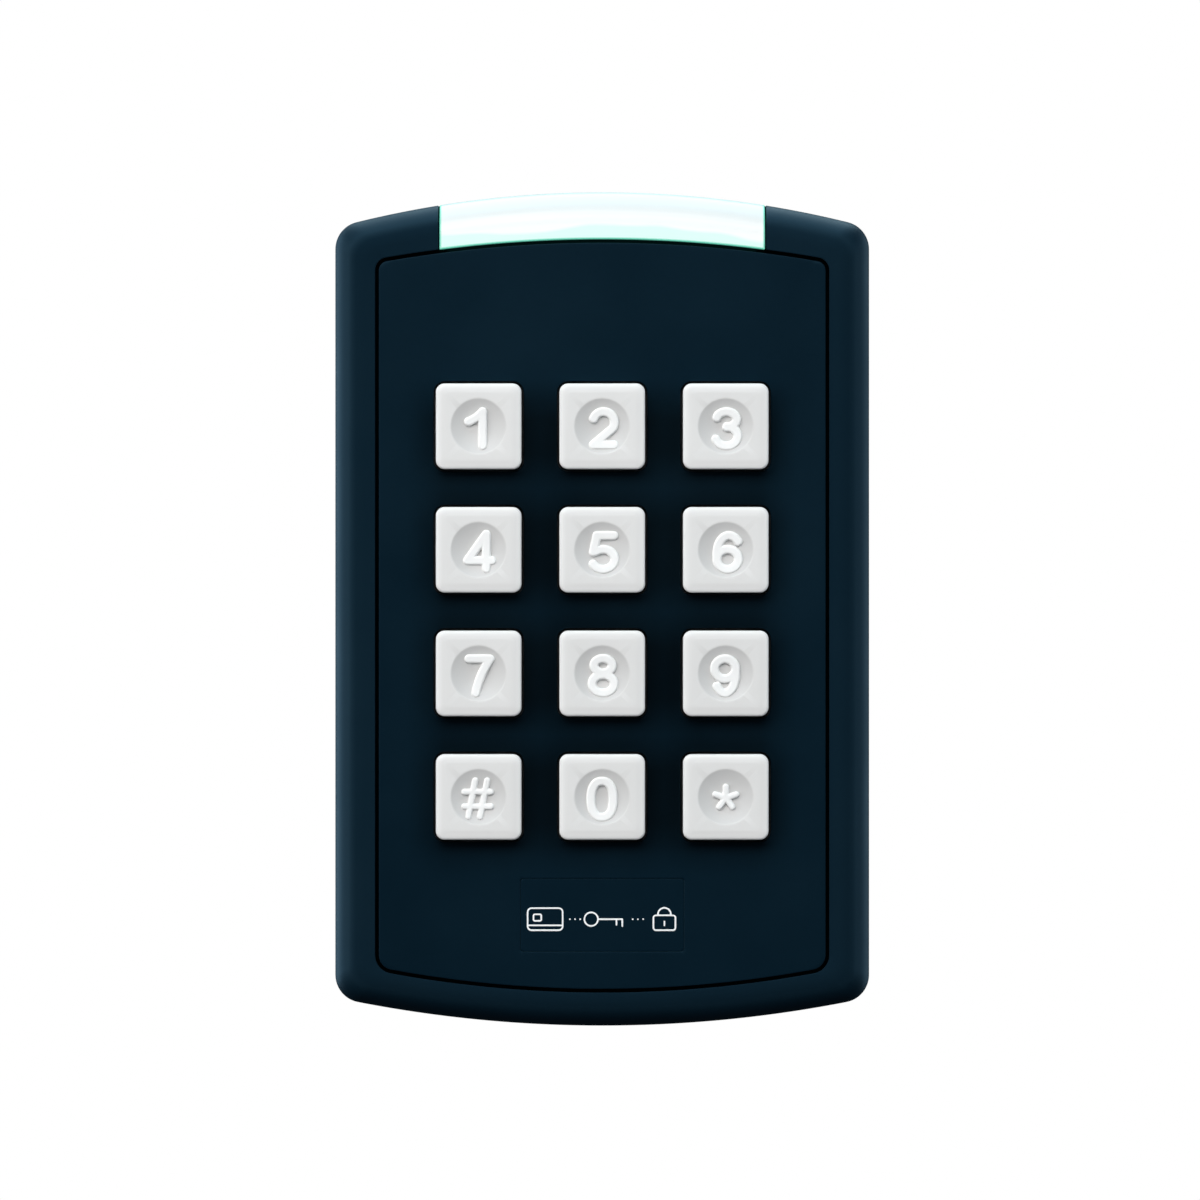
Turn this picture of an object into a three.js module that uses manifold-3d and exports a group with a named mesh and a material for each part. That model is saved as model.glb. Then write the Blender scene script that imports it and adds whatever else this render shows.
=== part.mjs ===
// Keypad access reader: a wall-mounted proximity reader with a twelve-key keypad and a light bar.
//
// Everything is modelled in the reader's own frame: x to the right, y up, z out of the wall, with z = 0 on the wall.
// The exported group turns that frame so that +Z is up and the face looks along -Y. All sizes are in millimetres.

import * as THREE from "three";
import { mergeVertices } from "three/addons/utils/BufferGeometryUtils.js";
import Module from "manifold-3d";

const wasm = await Module();
wasm.setup();

// ---------------------------------------------------------------- driving dimensions

const bodyWidth = 82.5;
const bodyHeight = 128.8;
const bodyTopRadius = 159; // the arched top edge, seen from the front
const bodyBottomRadius = 198;
const bodyCorner = 4.3;
const edgeRound = 4.8; // the round between the face and the sides
const backRound = 0.6; // the small round at the wall
const wall = 2.8;

const sideRim = 6.1; // the housing's rim round the face panel
const topRim = 7.2;
const bottomRim = 5.1;
const openingTopRadius = 196;
const openingBottomRadius = 181;
const openingTopCorner = 2.1;
const openingBottomCorner = 3;
const groove = 0.8; // the dark line between the rim and the face panel
const collarWall = 1.6; // the wall round the panel's pocket, behind the rim
const ledgeWidth = 2.2; // the ledge that the panel is bonded to
const ledgeThickness = 1.6;

const panelThickness = 2.2;
const panelRecess = 0.2;

const keySize = 13.2;
const keyCorner = 1.5;
const keyRound = 1.2;
const keyProud = 2.6; // how far a key stands out of the panel
const keyPitch = 19.05;
const keyGap = 0.35; // between a key and its hole
const keyFlange = 1; // how far the flange reaches past the cap
const keyFlangeThickness = 1;
const keyWall = 1.3;
const keyTravel = 1.2;
const keyPostRadius = 2.3;
const keyPostLength = 0.6; // below the flange
const keypadCentreY = -0.4;
const dishRadius = 4.5;
const dishDepth = 0.85;

const matThickness = 0.8;
const matMargin = 0.6; // past the outermost flanges
const domeBaseRadius = 4.4;
const domeTopRadius = 3;
const domeSkin = 0.7;
const domeCollapsed = 0.6; // what is left of a dome's height under a pressed key

const boardThickness = 1.6;
const boardClearance = 0.4; // between the board and the housing
const rearSpace = 10.9; // between the base plate and the board

const baseThickness = 2.4;
const rebateWall = 1.3; // the housing's wall round the base plate
const gasketThickness = 0.8;

const lensWidth = 50.2;
const lensWall = 2.2;
const lensReach = 9.8; // how far the lens wraps back over the top
const ledSpacing = 12;
const ledSize = new THREE.Vector3(2.8, 1.4, 0.7);

const fit = 0.15; // play between pieces that stand still against each other
const slideFit = 0.3; // play round pieces that move

const bossRadius = 2.6;
const screwShankRadius = 1.1;
const screwHeadRadius = 2.2;
const screwHeadHeight = 1.5;

const boxScrewSpacing = 83.3; // the screw holes of a single-gang electrical box
const boxScrewSpacingWide = 60; // the screw holes of a round wall box
const slotWidth = 4.8;
const slotLength = 10;

const cableBoreRadius = 4;
const grommetNeckRadius = 7.3;
const grommetFlangeRadius = 9.3;
const grommetFlangeThickness = 0.8;
const cableInletY = -16;

const hookSpacing = 32;
const hookWidth = 8;
const hookThickness = 1.6;
const hookNose = 1.3;
const hookHeight = 3.6;

const securityHeadRadius = 2.7;
const securityHeadHeight = 1.2;
const securityShankRadius = 1.3;
const securityScrewLength = 8;
const lowerBlockWidth = 9;
const lowerBlockLength = 5;
const lowerBlockWall = 1.2; // between the screw and the block's front

const coilWidth = 2.4;
const coilHeight = 2.3;

const tamperX = -22;
const tamperY = -8;
const tamperTravel = 1.5;
const tamperRodRadius = 1.5;
const tamperCollarRadius = 2.6;
const tamperCollarThickness = 0.8;
const tamperSwitchSize = new THREE.Vector3(6.4, 6.4, 3.6);
const tamperSpringRadius = 2.1;
const tamperWireRadius = 0.25;
const tamperSpringTurns = 4;

const badgeWidth = 25.2;
const badgeHeight = 11.2;
const badgeThickness = 0.4;

// ---------------------------------------------------------------- places worked out from them

const body = {
  half: bodyWidth / 2,
  top: bodyHeight / 2,
  bottom: -bodyHeight / 2,
  topRadius: bodyTopRadius,
  bottomRadius: bodyBottomRadius,
  topCorner: bodyCorner,
  bottomCorner: bodyCorner,
};
const opening = {
  half: body.half - sideRim,
  top: body.top - topRim,
  bottom: body.bottom + bottomRim,
  topRadius: openingTopRadius,
  bottomRadius: openingBottomRadius,
  topCorner: openingTopCorner,
  bottomCorner: openingBottomCorner,
};

// The stack from the wall to the face. Each layer starts where the one behind it ends.
const boardBack = baseThickness + rearSpace;
const boardFront = boardBack + boardThickness;
const matBack = boardFront + fit;
const matFront = matBack + matThickness;
const domeTop = matFront + keyTravel + domeCollapsed;
const keyPostEnd = domeTop + fit;
const flangeBack = keyPostEnd + keyPostLength;
const flangeFront = flangeBack + keyFlangeThickness;
const panelBack = flangeFront + slideFit;
const panelFront = panelBack + panelThickness;
const depth = panelFront + panelRecess;
const keyTop = panelFront + keyProud;
const rebateDepth = baseThickness + gasketThickness + 2 * fit;
const lensBack = depth - lensReach;
const coilFront = boardBack - fit;
const coilBack = coilFront - coilHeight;
const lowerBlockFront = coilBack - boardClearance;
const securityScrewZ = lowerBlockFront - lowerBlockWall - securityShankRadius;

const keyColumns = [-1, 0, 1];
const keyRows = [1.5, 0.5, -0.5, -1.5];
const keyNames = [
  ["key_1", "key_2", "key_3"],
  ["key_4", "key_5", "key_6"],
  ["key_7", "key_8", "key_9"],
  ["key_hash", "key_0", "key_star"],
];
const keyPlaces = keyRows.flatMap((row, r) =>
  keyColumns.map((column, c) => ({
    name: keyNames[r][c],
    x: column * keyPitch,
    y: keypadCentreY + row * keyPitch,
  })),
);

// ---------------------------------------------------------------- materials

const plastic = (color, roughness) => new THREE.MeshStandardMaterial({ color, roughness, metalness: 0 });
const metal = (color, roughness) => new THREE.MeshStandardMaterial({ color, roughness, metalness: 1 });
const materials = {
  housing: plastic(0x0a1c28, 0.55),
  panel: plastic(0x0b1d29, 0.6),
  key: plastic(0xdddddd, 0.5),
  lens: plastic(0xe6fffb, 0.25),
  guide: plastic(0xf2f7f7, 0.3),
  silicone: plastic(0x9aa0a3, 0.8),
  rubber: plastic(0x15171a, 0.85),
  board: plastic(0x0f4a2c, 0.5),
  base: plastic(0x15191d, 0.65),
  chip: plastic(0x17181a, 0.6),
  terminal: plastic(0x2a7a45, 0.45),
  copper: metal(0xb4683c, 0.4),
  steel: metal(0xb8bcc0, 0.35),
  aluminium: metal(0xc9ccd0, 0.4),
};

// ---------------------------------------------------------------- solids

// A geometry's closed surface as a solid that can be joined and cut.
function solid(geometry) {
  const bare = new THREE.BufferGeometry().setAttribute("position", geometry.getAttribute("position"));
  bare.setIndex(geometry.index);
  const merged = mergeVertices(bare, 1e-4);
  return new wasm.Manifold(
    new wasm.Mesh({
      numProp: 3,
      vertProperties: new Float32Array(merged.attributes.position.array),
      triVerts: new Uint32Array(merged.index.array),
    }),
  );
}

function geometryOf(made) {
  const { vertProperties, triVerts } = made.getMesh();
  const geometry = new THREE.BufferGeometry();
  geometry.setAttribute("position", new THREE.BufferAttribute(vertProperties, 3));
  geometry.setIndex(new THREE.BufferAttribute(triVerts, 1));
  geometry.computeVertexNormals();
  return geometry;
}

const joined = (solids) => solids.reduce((whole, next) => whole.add(next));
const cutFrom = (whole, cutters) => cutters.reduce((rest, cutter) => rest.subtract(cutter), whole);

function arc(x, y, radius, from, to, steps) {
  return Array.from({ length: steps + 1 }, (_, i) => {
    const angle = from + ((to - from) * i) / steps;
    return new THREE.Vector2(x + radius * Math.cos(angle), y + radius * Math.sin(angle));
  });
}

// The closed outline of a plate with straight sides, arched ends and round corners, moved inwards by inset.
function archedOutline(edge, inset = 0, cornerSteps = 4, archSteps = 8) {
  const half = edge.half - inset;
  const end = (height, archRadius, corner) => {
    const radius = archRadius - inset;
    const round = Math.max(corner - inset, 0.3);
    const centre = height - archRadius;
    const cornerX = half - round;
    const cornerY = centre + Math.sqrt((radius - round) ** 2 - cornerX ** 2);
    const lean = Math.atan2(cornerY - centre, cornerX);
    return [
      ...arc(cornerX, cornerY, round, 0, lean, cornerSteps),
      ...arc(0, centre, radius, lean, Math.PI - lean, archSteps).slice(1, -1),
      ...arc(-cornerX, cornerY, round, Math.PI - lean, Math.PI, cornerSteps),
    ];
  };
  const turned = (point) => new THREE.Vector2(-point.x, -point.y);
  return [
    ...end(edge.top, edge.topRadius, edge.topCorner),
    ...end(-edge.bottom, edge.bottomRadius, edge.bottomCorner).map(turned),
  ];
}

// The height of the arched top edge at x, moved inwards by inset.
function archTopAt(edge, x, inset = 0) {
  return edge.top - edge.topRadius + Math.sqrt((edge.topRadius - inset) ** 2 - x ** 2);
}

function archBottomAt(edge, x, inset = 0) {
  return edge.bottom + edge.bottomRadius - Math.sqrt((edge.bottomRadius - inset) ** 2 - x ** 2);
}

function roundedRectangle(width, height, corner, steps = 2, x = 0, y = 0) {
  const dx = width / 2 - corner;
  const dy = height / 2 - corner;
  const quarter = Math.PI / 2;
  return [
    ...arc(x + dx, y + dy, corner, 0, quarter, steps),
    ...arc(x - dx, y + dy, corner, quarter, 2 * quarter, steps),
    ...arc(x - dx, y - dy, corner, 2 * quarter, 3 * quarter, steps),
    ...arc(x + dx, y - dy, corner, 3 * quarter, 4 * quarter, steps),
  ];
}

function circle(radius, x = 0, y = 0, steps = 12) {
  return arc(x, y, radius, 0, 2 * Math.PI, steps).slice(0, -1);
}

// A slot with round ends, along x or, if upright, along y.
function slot(length, width, x, y, upright) {
  const [w, h] = upright ? [width, length] : [length, width];
  return roundedRectangle(w, h, width / 2 - 0.01, 3, x, y);
}

// A plate between two heights, with any holes.
function prism(outline, from, to, holes = []) {
  const shape = new THREE.Shape(outline);
  shape.holes = holes.map((hole) => new THREE.Path(hole));
  const geometry = new THREE.ExtrudeGeometry(shape, { depth: to - from, bevelEnabled: false, curveSegments: 1 });
  return solid(geometry.translate(0, 0, from));
}

function box(x0, x1, y0, y1, z0, z1) {
  const geometry = new THREE.BoxGeometry(x1 - x0, y1 - y0, z1 - z0);
  return solid(geometry.translate((x0 + x1) / 2, (y0 + y1) / 2, (z0 + z1) / 2));
}

// A solid skinned over convex outlines with the same number of points, from the lowest to the highest.
function skin(rings) {
  const count = rings[0].outline.length;
  const positions = rings.flatMap(({ outline, z }) => outline.flatMap((point) => [point.x, point.y, z]));
  const index = [];
  for (let ring = 0; ring < rings.length - 1; ring++) {
    for (let i = 0; i < count; i++) {
      const a = ring * count + i;
      const b = ring * count + ((i + 1) % count);
      index.push(a, b, b + count, a, b + count, a + count);
    }
  }
  const last = (rings.length - 1) * count;
  for (let i = 1; i < count - 1; i++) {
    index.push(0, i + 1, i, last, last + i, last + i + 1);
  }
  const geometry = new THREE.BufferGeometry();
  geometry.setAttribute("position", new THREE.Float32BufferAttribute(positions, 3));
  geometry.setIndex(index);
  return solid(geometry);
}

// A solid turned about z from a profile of [radius, z] corners.
function turned(profile, steps = 12) {
  const points = profile.map(([radius, z]) => new THREE.Vector2(radius, z));
  return solid(new THREE.LatheGeometry([...points, points[0]], steps).rotateX(Math.PI / 2));
}

const reader = new THREE.Group();
reader.rotation.x = Math.PI / 2;

function piece(name, material, made, parent = reader) {
  const mesh = new THREE.Mesh(geometryOf(made), materials[material]);
  mesh.name = name;
  parent.add(mesh);
  return mesh;
}

// ---------------------------------------------------------------- housing

// The outside of the reader, moved inwards by inset: a round at the wall, straight sides and a round to the face.
function bodyShape(inset, roundSteps) {
  const round = edgeRound - inset;
  const roundStart = depth - edgeRound;
  const rings = inset
    ? [{ outline: archedOutline(body, inset), z: -1 }]
    : [
        { outline: archedOutline(body, backRound), z: 0 },
        { outline: archedOutline(body, 0), z: backRound },
      ];
  for (const turn of arc(0, 0, round, 0, Math.PI / 2, roundSteps)) {
    rings.push({ outline: archedOutline(body, edgeRound - turn.x), z: roundStart + turn.y });
  }
  return skin(rings);
}

const hookPlaces = [-hookSpacing / 2, hookSpacing / 2];
const hookOuterY = archTopAt(body, hookSpacing / 2 + hookWidth / 2, wall) - boardClearance;

function hookRecess(x) {
  const half = hookWidth / 2 + slideFit;
  const low = baseThickness + hookHeight - hookThickness - slideFit;
  const high = baseThickness + hookHeight + slideFit;
  return box(x - half, x + half, hookOuterY - 1, hookOuterY + hookNose + slideFit, low, high);
}

// A turned cutter or screw that runs along y instead of z, at the security screw's place.
function alongY(made, y, z) {
  const geometry = geometryOf(made).rotateX(-Math.PI / 2).translate(0, y, z);
  return solid(geometry);
}

function makeHousing() {
  const rebate = prism(archedOutline(body, rebateWall), -1, rebateDepth);
  const collarOutline = archedOutline(opening, -collarWall);
  const collar = prism(collarOutline, panelBack - ledgeThickness, depth - 1);
  const pocket = prism(archedOutline(opening), panelBack, depth + 1);
  const window = prism(archedOutline(opening, groove + ledgeWidth), panelBack - ledgeThickness - 1, depth);

  const notchHalf = lensWidth / 2 + fit;
  const notch = box(-notchHalf, notchHalf, opening.top - topRim, body.top + 1, lensBack - fit, depth + 1);
  const keptCollar = prism(collarOutline, 0, panelBack);

  const headHole = [
    [0, -1],
    [securityHeadRadius + slideFit, -1],
    [securityHeadRadius + slideFit, securityHeadHeight + slideFit],
    [securityShankRadius + slideFit, securityHeadHeight + slideFit],
    [securityShankRadius + slideFit, wall + 1],
    [0, wall + 1],
  ];
  const screwHole = alongY(turned(headHole), body.bottom, securityScrewZ);

  const shell = bodyShape(0, 5).subtract(bodyShape(wall, 2)).subtract(rebate).add(collar);
  return cutFrom(shell, [pocket, window, notch.subtract(keptCollar), screwHole, ...hookPlaces.map(hookRecess)]);
}

piece("front_housing", "housing", makeHousing());

// ---------------------------------------------------------------- light bar

function makeLens() {
  const half = lensWidth / 2;
  const region = box(-half, half, opening.top - topRim, body.top + 1, lensBack, depth + 1);
  const belowRim = prism(archedOutline(opening), lensBack - 1, depth + 1);
  return bodyShape(0, 5).subtract(bodyShape(lensWall, 3)).intersect(region).subtract(belowRim);
}

const guideHalf = lensWidth / 2 - 1;
const guideInset = lensWall + boardClearance;
const guideLow = -(collarWall + boardClearance);

function makeLightGuide() {
  const back = boardFront + ledSize.z + fit;
  const span = box(-guideHalf, guideHalf, opening.top - topRim, body.top, back, depth);
  const under = prism(archedOutline(opening, guideLow), back - 1, depth);
  return bodyShape(guideInset, 2).intersect(span).subtract(under);
}

piece("light_lens", "lens", makeLens());
piece("light_guide", "guide", makeLightGuide());

[-1.5, -0.5, 0.5, 1.5].forEach((step, i) => {
  const { x: w, y: h, z: t } = ledSize;
  const x = step * ledSpacing;
  const y = (archTopAt(body, x, guideInset) + archTopAt(opening, x, guideLow)) / 2;
  const led = piece(`status_led_${i + 1}`, "guide", box(-w / 2, w / 2, -h / 2, h / 2, 0, t));
  led.position.set(x, y, boardFront);
});

// ---------------------------------------------------------------- face panel and badge

const panelTop = opening.top - groove;
const panelHalf = opening.half - groove;
const boardScrewX = panelHalf - ledgeWidth - bossRadius - 1;
const boardScrewInset = groove + ledgeWidth + bossRadius + boardClearance;
const boardScrewPlaces = [
  [-boardScrewX, archTopAt(opening, boardScrewX, boardScrewInset)],
  [boardScrewX, archTopAt(opening, boardScrewX, boardScrewInset)],
  [-boardScrewX, archBottomAt(opening, boardScrewX, boardScrewInset)],
  [boardScrewX, archBottomAt(opening, boardScrewX, boardScrewInset)],
];

const keyHole = keySize + 2 * keyGap;
const lowestHoleEdge = keypadCentreY - 1.5 * keyPitch - keyHole / 2;
const badgeY = (lowestHoleEdge + opening.bottom + groove) / 2;

function makePanel() {
  const holes = keyPlaces.map(({ x, y }) => roundedRectangle(keyHole, keyHole, keyCorner + keyGap, 2, x, y));
  const plate = prism(archedOutline(opening, groove), panelBack, panelFront, holes);
  const recess = prism(
    roundedRectangle(badgeWidth + 2 * fit, badgeHeight + 2 * fit, 0.4, 1, 0, badgeY),
    panelFront - badgeThickness - fit,
    panelFront + 1,
  );
  const bosses = boardScrewPlaces.map(([x, y]) => prism(circle(bossRadius, x, y), boardFront + fit, panelBack + 0.5));
  const pilots = boardScrewPlaces.map(([x, y]) =>
    prism(circle(screwShankRadius + fit, x, y, 8), boardFront - 1, panelBack + 0.8),
  );
  return cutFrom(joined([plate, ...bosses]), [recess, ...pilots]);
}

piece("face_panel", "panel", makePanel());

const badge = prism(roundedRectangle(badgeWidth, badgeHeight, 0.3, 1), -badgeThickness, 0);
piece("badge_plate", "panel", badge).position.set(0, badgeY, panelFront);

// ---------------------------------------------------------------- keys and the silicone mat under them

function makeKey() {
  const square = (size, corner) => roundedRectangle(size, size, corner, 2);
  const flange = keySize + 2 * keyFlange;
  const rings = [
    { outline: square(flange, keyCorner), z: flangeBack },
    { outline: square(flange, keyCorner), z: flangeFront },
    { outline: square(keySize, keyCorner), z: flangeFront },
  ];
  for (const turn of arc(0, 0, keyRound, 0, Math.PI / 2, 2)) {
    const inset = keyRound - turn.x;
    const corner = Math.max(keyCorner - inset, 0.3);
    rings.push({ outline: square(keySize - 2 * inset, corner), z: keyTop - keyRound + turn.y });
  }
  const dishCurve = (dishRadius ** 2 + dishDepth ** 2) / (2 * dishDepth);
  const dishAngle = Math.asin(dishRadius / dishCurve);
  const bowl = arc(0, keyTop - dishDepth + dishCurve, dishCurve, -Math.PI / 2, -Math.PI / 2 + dishAngle, 2);
  const dish = turned([...bowl.map((p) => [p.x, p.y]), [dishRadius, keyTop + 1], [0, keyTop + 1]], 16);
  const hollowSize = keySize - 2 * keyWall;
  const hollow = prism(square(hollowSize, 0.6), flangeBack - 1, keyTop - dishDepth - keyWall);
  const post = prism(circle(keyPostRadius, 0, 0, 8), keyPostEnd, keyTop - dishDepth - keyWall / 2);
  return skin(rings).subtract(dish).subtract(hollow).add(post);
}

const key = makeKey();
for (const { name, x, y } of keyPlaces) {
  piece(name, "key", key).position.set(x, y, 0);
}

function makeMat() {
  const reach = keySize / 2 + keyFlange + matMargin;
  const outline = roundedRectangle(2 * (keyPitch + reach), 2 * (1.5 * keyPitch + reach), 2, 2, 0, keypadCentreY);
  const dome = (skinInset, bottom, top, x, y) =>
    skin([
      { outline: circle(domeBaseRadius - skinInset, x, y, 10), z: bottom },
      { outline: circle(domeTopRadius - skinInset, x, y, 10), z: top },
    ]);
  const outer = keyPlaces.map(({ x, y }) => dome(0, matFront - 0.3, domeTop, x, y));
  const inner = keyPlaces.map(({ x, y }) => dome(domeSkin, matBack - 0.5, domeTop - domeSkin, x, y));
  return cutFrom(joined([prism(outline, matBack, matFront), ...outer]), inner);
}

piece("keypad_mat", "silicone", makeMat());

// ---------------------------------------------------------------- circuit board and what is on it

const boardInset = wall + boardClearance;

function makeBoard() {
  const holes = boardScrewPlaces.map(([x, y]) => circle(screwShankRadius + slideFit, x, y, 8));
  return prism(archedOutline(body, boardInset, 2, 6), boardBack, boardFront, holes);
}

piece("main_board", "board", makeBoard());

const coilInset = boardInset + fit;
piece(
  "antenna_coil",
  "copper",
  prism(archedOutline(body, coilInset, 2, 6), coilBack, coilFront, [
    archedOutline(body, coilInset + coilWidth, 2, 6),
  ]),
);

// Seen from behind: x runs the other way, and z runs from the board towards the wall.
const boardRear = new THREE.Group();
boardRear.rotation.y = Math.PI;
boardRear.position.z = boardBack;
reader.add(boardRear);

function rearPiece(name, material, made, x, y) {
  piece(name, material, made, boardRear).position.set(-x, y, 0);
}

const terminalWays = 10;
const terminalPitch = 3.5;
const terminalSize = new THREE.Vector3(terminalWays * terminalPitch + 1, 7.6, 8.6);
const terminalY = cableInletY - grommetFlangeRadius - 3.5 - terminalSize.y / 2;

function makeTerminalBlock() {
  const { x: w, y: h, z: t } = terminalSize;
  const ways = Array.from({ length: terminalWays }, (_, i) => (i - (terminalWays - 1) / 2) * terminalPitch);
  const entries = ways.map((x) => box(x - 1.25, x + 1.25, h / 2 - 4, h / 2 + 1, 1.2, 4));
  const screwWells = ways.map((x) => prism(circle(1.3, x, 0.6, 6), t - 1.4, t + 1));
  const slope = box(-w, w, -h / 2 - 1, -h / 2 + 1.4, t - 2, t + 1);
  return cutFrom(box(-w / 2, w / 2, -h / 2, h / 2, 0, t), [slope, ...entries, ...screwWells]);
}

rearPiece("terminal_block", "terminal", makeTerminalBlock(), 0, terminalY);

function makeSounder() {
  const radius = 6;
  const height = 5.4;
  const soundHole = 1.1;
  return turned(
    [
      [0, 0],
      [radius, 0],
      [radius, height - 0.6],
      [radius - 0.6, height],
      [soundHole, height],
      [soundHole, height - 1],
      [0, height - 1],
    ],
    16,
  );
}

rearPiece("sounder", "chip", makeSounder(), -20, 30);

// A flat package with a lead strip along each named side.
function chip(size, height, leadReach, sides) {
  const [w, h] = size;
  const strip = 0.6;
  const strips = sides.map(([dx, dy]) =>
    dx
      ? box(Math.min(0, dx * (w / 2 + leadReach)), Math.max(0, dx * (w / 2 + leadReach)), -h / 2 + strip, h / 2 - strip, 0, 0.3)
      : box(-w / 2 + strip, w / 2 - strip, Math.min(0, dy * (h / 2 + leadReach)), Math.max(0, dy * (h / 2 + leadReach)), 0, 0.3),
  );
  return joined([box(-w / 2, w / 2, -h / 2, h / 2, 0.1, height), ...strips]);
}

const fourSides = [
  [1, 0],
  [-1, 0],
  [0, 1],
  [0, -1],
];
rearPiece("processor_chip", "chip", chip([10, 10], 1.5, 1.2, fourSides), 14, 14);
rearPiece("reader_chip", "chip", chip([4, 10], 1.7, 1.1, fourSides.slice(0, 2)), -8, 16);
rearPiece("voltage_regulator", "chip", chip([6.6, 3.6], 1.7, 1.7, fourSides.slice(2)), 20, terminalY + 12);
rearPiece("crystal", "aluminium", prism(roundedRectangle(11, 4.6, 2.25, 3), 0, 3.4), 14, 28);

function capacitor(radius, height) {
  return turned(
    [
      [0, 0],
      [radius, 0],
      [radius, height - 0.4],
      [radius - 0.4, height],
      [0, height],
    ],
    12,
  );
}

rearPiece("supply_capacitor", "aluminium", capacitor(3.2, 7.6), 24, -2);
rearPiece("filter_capacitor", "aluminium", capacitor(2.5, 5.4), -24, 14);

function makeScrew(headRadius, headHeight, shankRadius, length) {
  return turned(
    [
      [0, -headHeight],
      [headRadius * 0.75, -headHeight],
      [headRadius, -headHeight * 0.5],
      [headRadius, 0],
      [shankRadius, 0],
      [shankRadius, length - 1],
      [0, length],
    ],
    10,
  );
}

const boardScrewLength = panelBack - boardBack;
const boardScrew = makeScrew(screwHeadRadius, screwHeadHeight, screwShankRadius, boardScrewLength);
boardScrewPlaces.forEach(([x, y], i) => {
  piece(`board_screw_${i + 1}`, "steel", boardScrew).position.set(x, y, boardBack);
});

// ---------------------------------------------------------------- base plate, seal and cable inlet

const inletHoleRadius = grommetNeckRadius + fit;
const tamperHoleRadius = tamperRodRadius + slideFit;
const baseInset = rebateWall + fit;

function makeHook(x) {
  const half = hookWidth / 2;
  const top = baseThickness + hookHeight;
  const inner = hookOuterY - hookThickness;
  return joined([
    box(x - half, x + half, inner, hookOuterY, baseThickness - 0.5, top),
    box(x - half, x + half, inner, hookOuterY + hookNose, top - hookThickness, top),
  ]);
}

function makeBase() {
  const slots = [
    slot(slotLength, slotWidth, 0, boxScrewSpacing / 2, false),
    slot(slotLength, slotWidth, 0, -boxScrewSpacing / 2, false),
    slot(slotLength, slotWidth, boxScrewSpacingWide / 2, 0, true),
    slot(slotLength, slotWidth, -boxScrewSpacingWide / 2, 0, true),
  ];
  const inlet = circle(inletHoleRadius, 0, cableInletY, 16);
  const tamperHole = circle(tamperHoleRadius, tamperX, tamperY, 10);
  const plate = prism(archedOutline(body, baseInset, 3, 8), 0, baseThickness, [...slots, inlet, tamperHole]);
  const flangeSeat = prism(
    circle(grommetFlangeRadius + fit, 0, cableInletY, 16),
    -1,
    grommetFlangeThickness + 2 * fit,
  );
  const blockOuter = body.bottom + wall + boardClearance;
  const half = lowerBlockWidth / 2;
  const blockInner = blockOuter + lowerBlockLength;
  const block = box(-half, half, blockOuter, blockInner, baseThickness - 0.5, lowerBlockFront);
  const thread = prism(circle(securityShankRadius + fit, 0, 0, 8), -1, blockInner - body.bottom + 1);
  const threadHole = alongY(thread, body.bottom, securityScrewZ);
  return cutFrom(joined([plate, block, ...hookPlaces.map(makeHook)]), [flangeSeat, threadHole]);
}

piece("base_plate", "base", makeBase());

piece(
  "base_gasket",
  "rubber",
  prism(archedOutline(body, baseInset, 3, 8), baseThickness + fit, baseThickness + fit + gasketThickness, [
    archedOutline(body, wall, 3, 8),
  ]),
);

function makeGrommet() {
  const back = fit;
  const plateBack = grommetFlangeThickness + fit;
  const plateFront = baseThickness + fit;
  const front = plateFront + grommetFlangeThickness + 0.3;
  return turned(
    [
      [cableBoreRadius, back],
      [grommetFlangeRadius, back],
      [grommetFlangeRadius, plateBack],
      [grommetNeckRadius, plateBack],
      [grommetNeckRadius, plateFront],
      [grommetFlangeRadius, plateFront],
      [grommetFlangeRadius - 0.7, front],
      [cableBoreRadius + 0.6, front],
      [cableBoreRadius, plateFront],
    ],
    16,
  );
}

piece("cable_grommet", "rubber", makeGrommet()).position.set(0, cableInletY, 0);

function makeSecurityScrew() {
  const screw = makeScrew(securityHeadRadius, securityHeadHeight, securityShankRadius, securityScrewLength);
  return alongY(screw, body.bottom + securityHeadHeight + fit, 0);
}

piece("security_screw", "steel", makeSecurityScrew()).position.set(0, 0, securityScrewZ);

// ---------------------------------------------------------------- tamper switch

const collarBack = baseThickness + tamperTravel + slideFit;
const collarFront = collarBack + tamperCollarThickness;
const switchBack = boardBack - tamperSwitchSize.z;
const rodEnd = switchBack + tamperTravel + 0.8;

function makeTamperSwitch() {
  const { x: w, y: h, z: t } = tamperSwitchSize;
  const bore = prism(circle(tamperRodRadius + slideFit, 0, 0, 10), -t - 1, rodEnd + slideFit - boardBack);
  return box(-w / 2, w / 2, -h / 2, h / 2, -t, 0).subtract(bore);
}

piece("tamper_switch", "chip", makeTamperSwitch()).position.set(tamperX, tamperY, boardBack);

const plunger = turned(
  [
    [0, fit],
    [tamperRodRadius - 0.4, fit],
    [tamperRodRadius, fit + 0.5],
    [tamperRodRadius, collarBack],
    [tamperCollarRadius, collarBack],
    [tamperCollarRadius, collarFront],
    [tamperRodRadius, collarFront],
    [tamperRodRadius, rodEnd],
    [0, rodEnd],
  ],
  10,
);
piece("tamper_plunger", "key", plunger).position.set(tamperX, tamperY, 0);

class Helix extends THREE.Curve {
  constructor(radius, from, to, turns) {
    super();
    Object.assign(this, { radius, from, to, turns });
  }

  getPoint(t, target = new THREE.Vector3()) {
    const angle = 2 * Math.PI * this.turns * t;
    const z = this.from + (this.to - this.from) * t;
    return target.set(this.radius * Math.cos(angle), this.radius * Math.sin(angle), z);
  }
}

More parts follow.
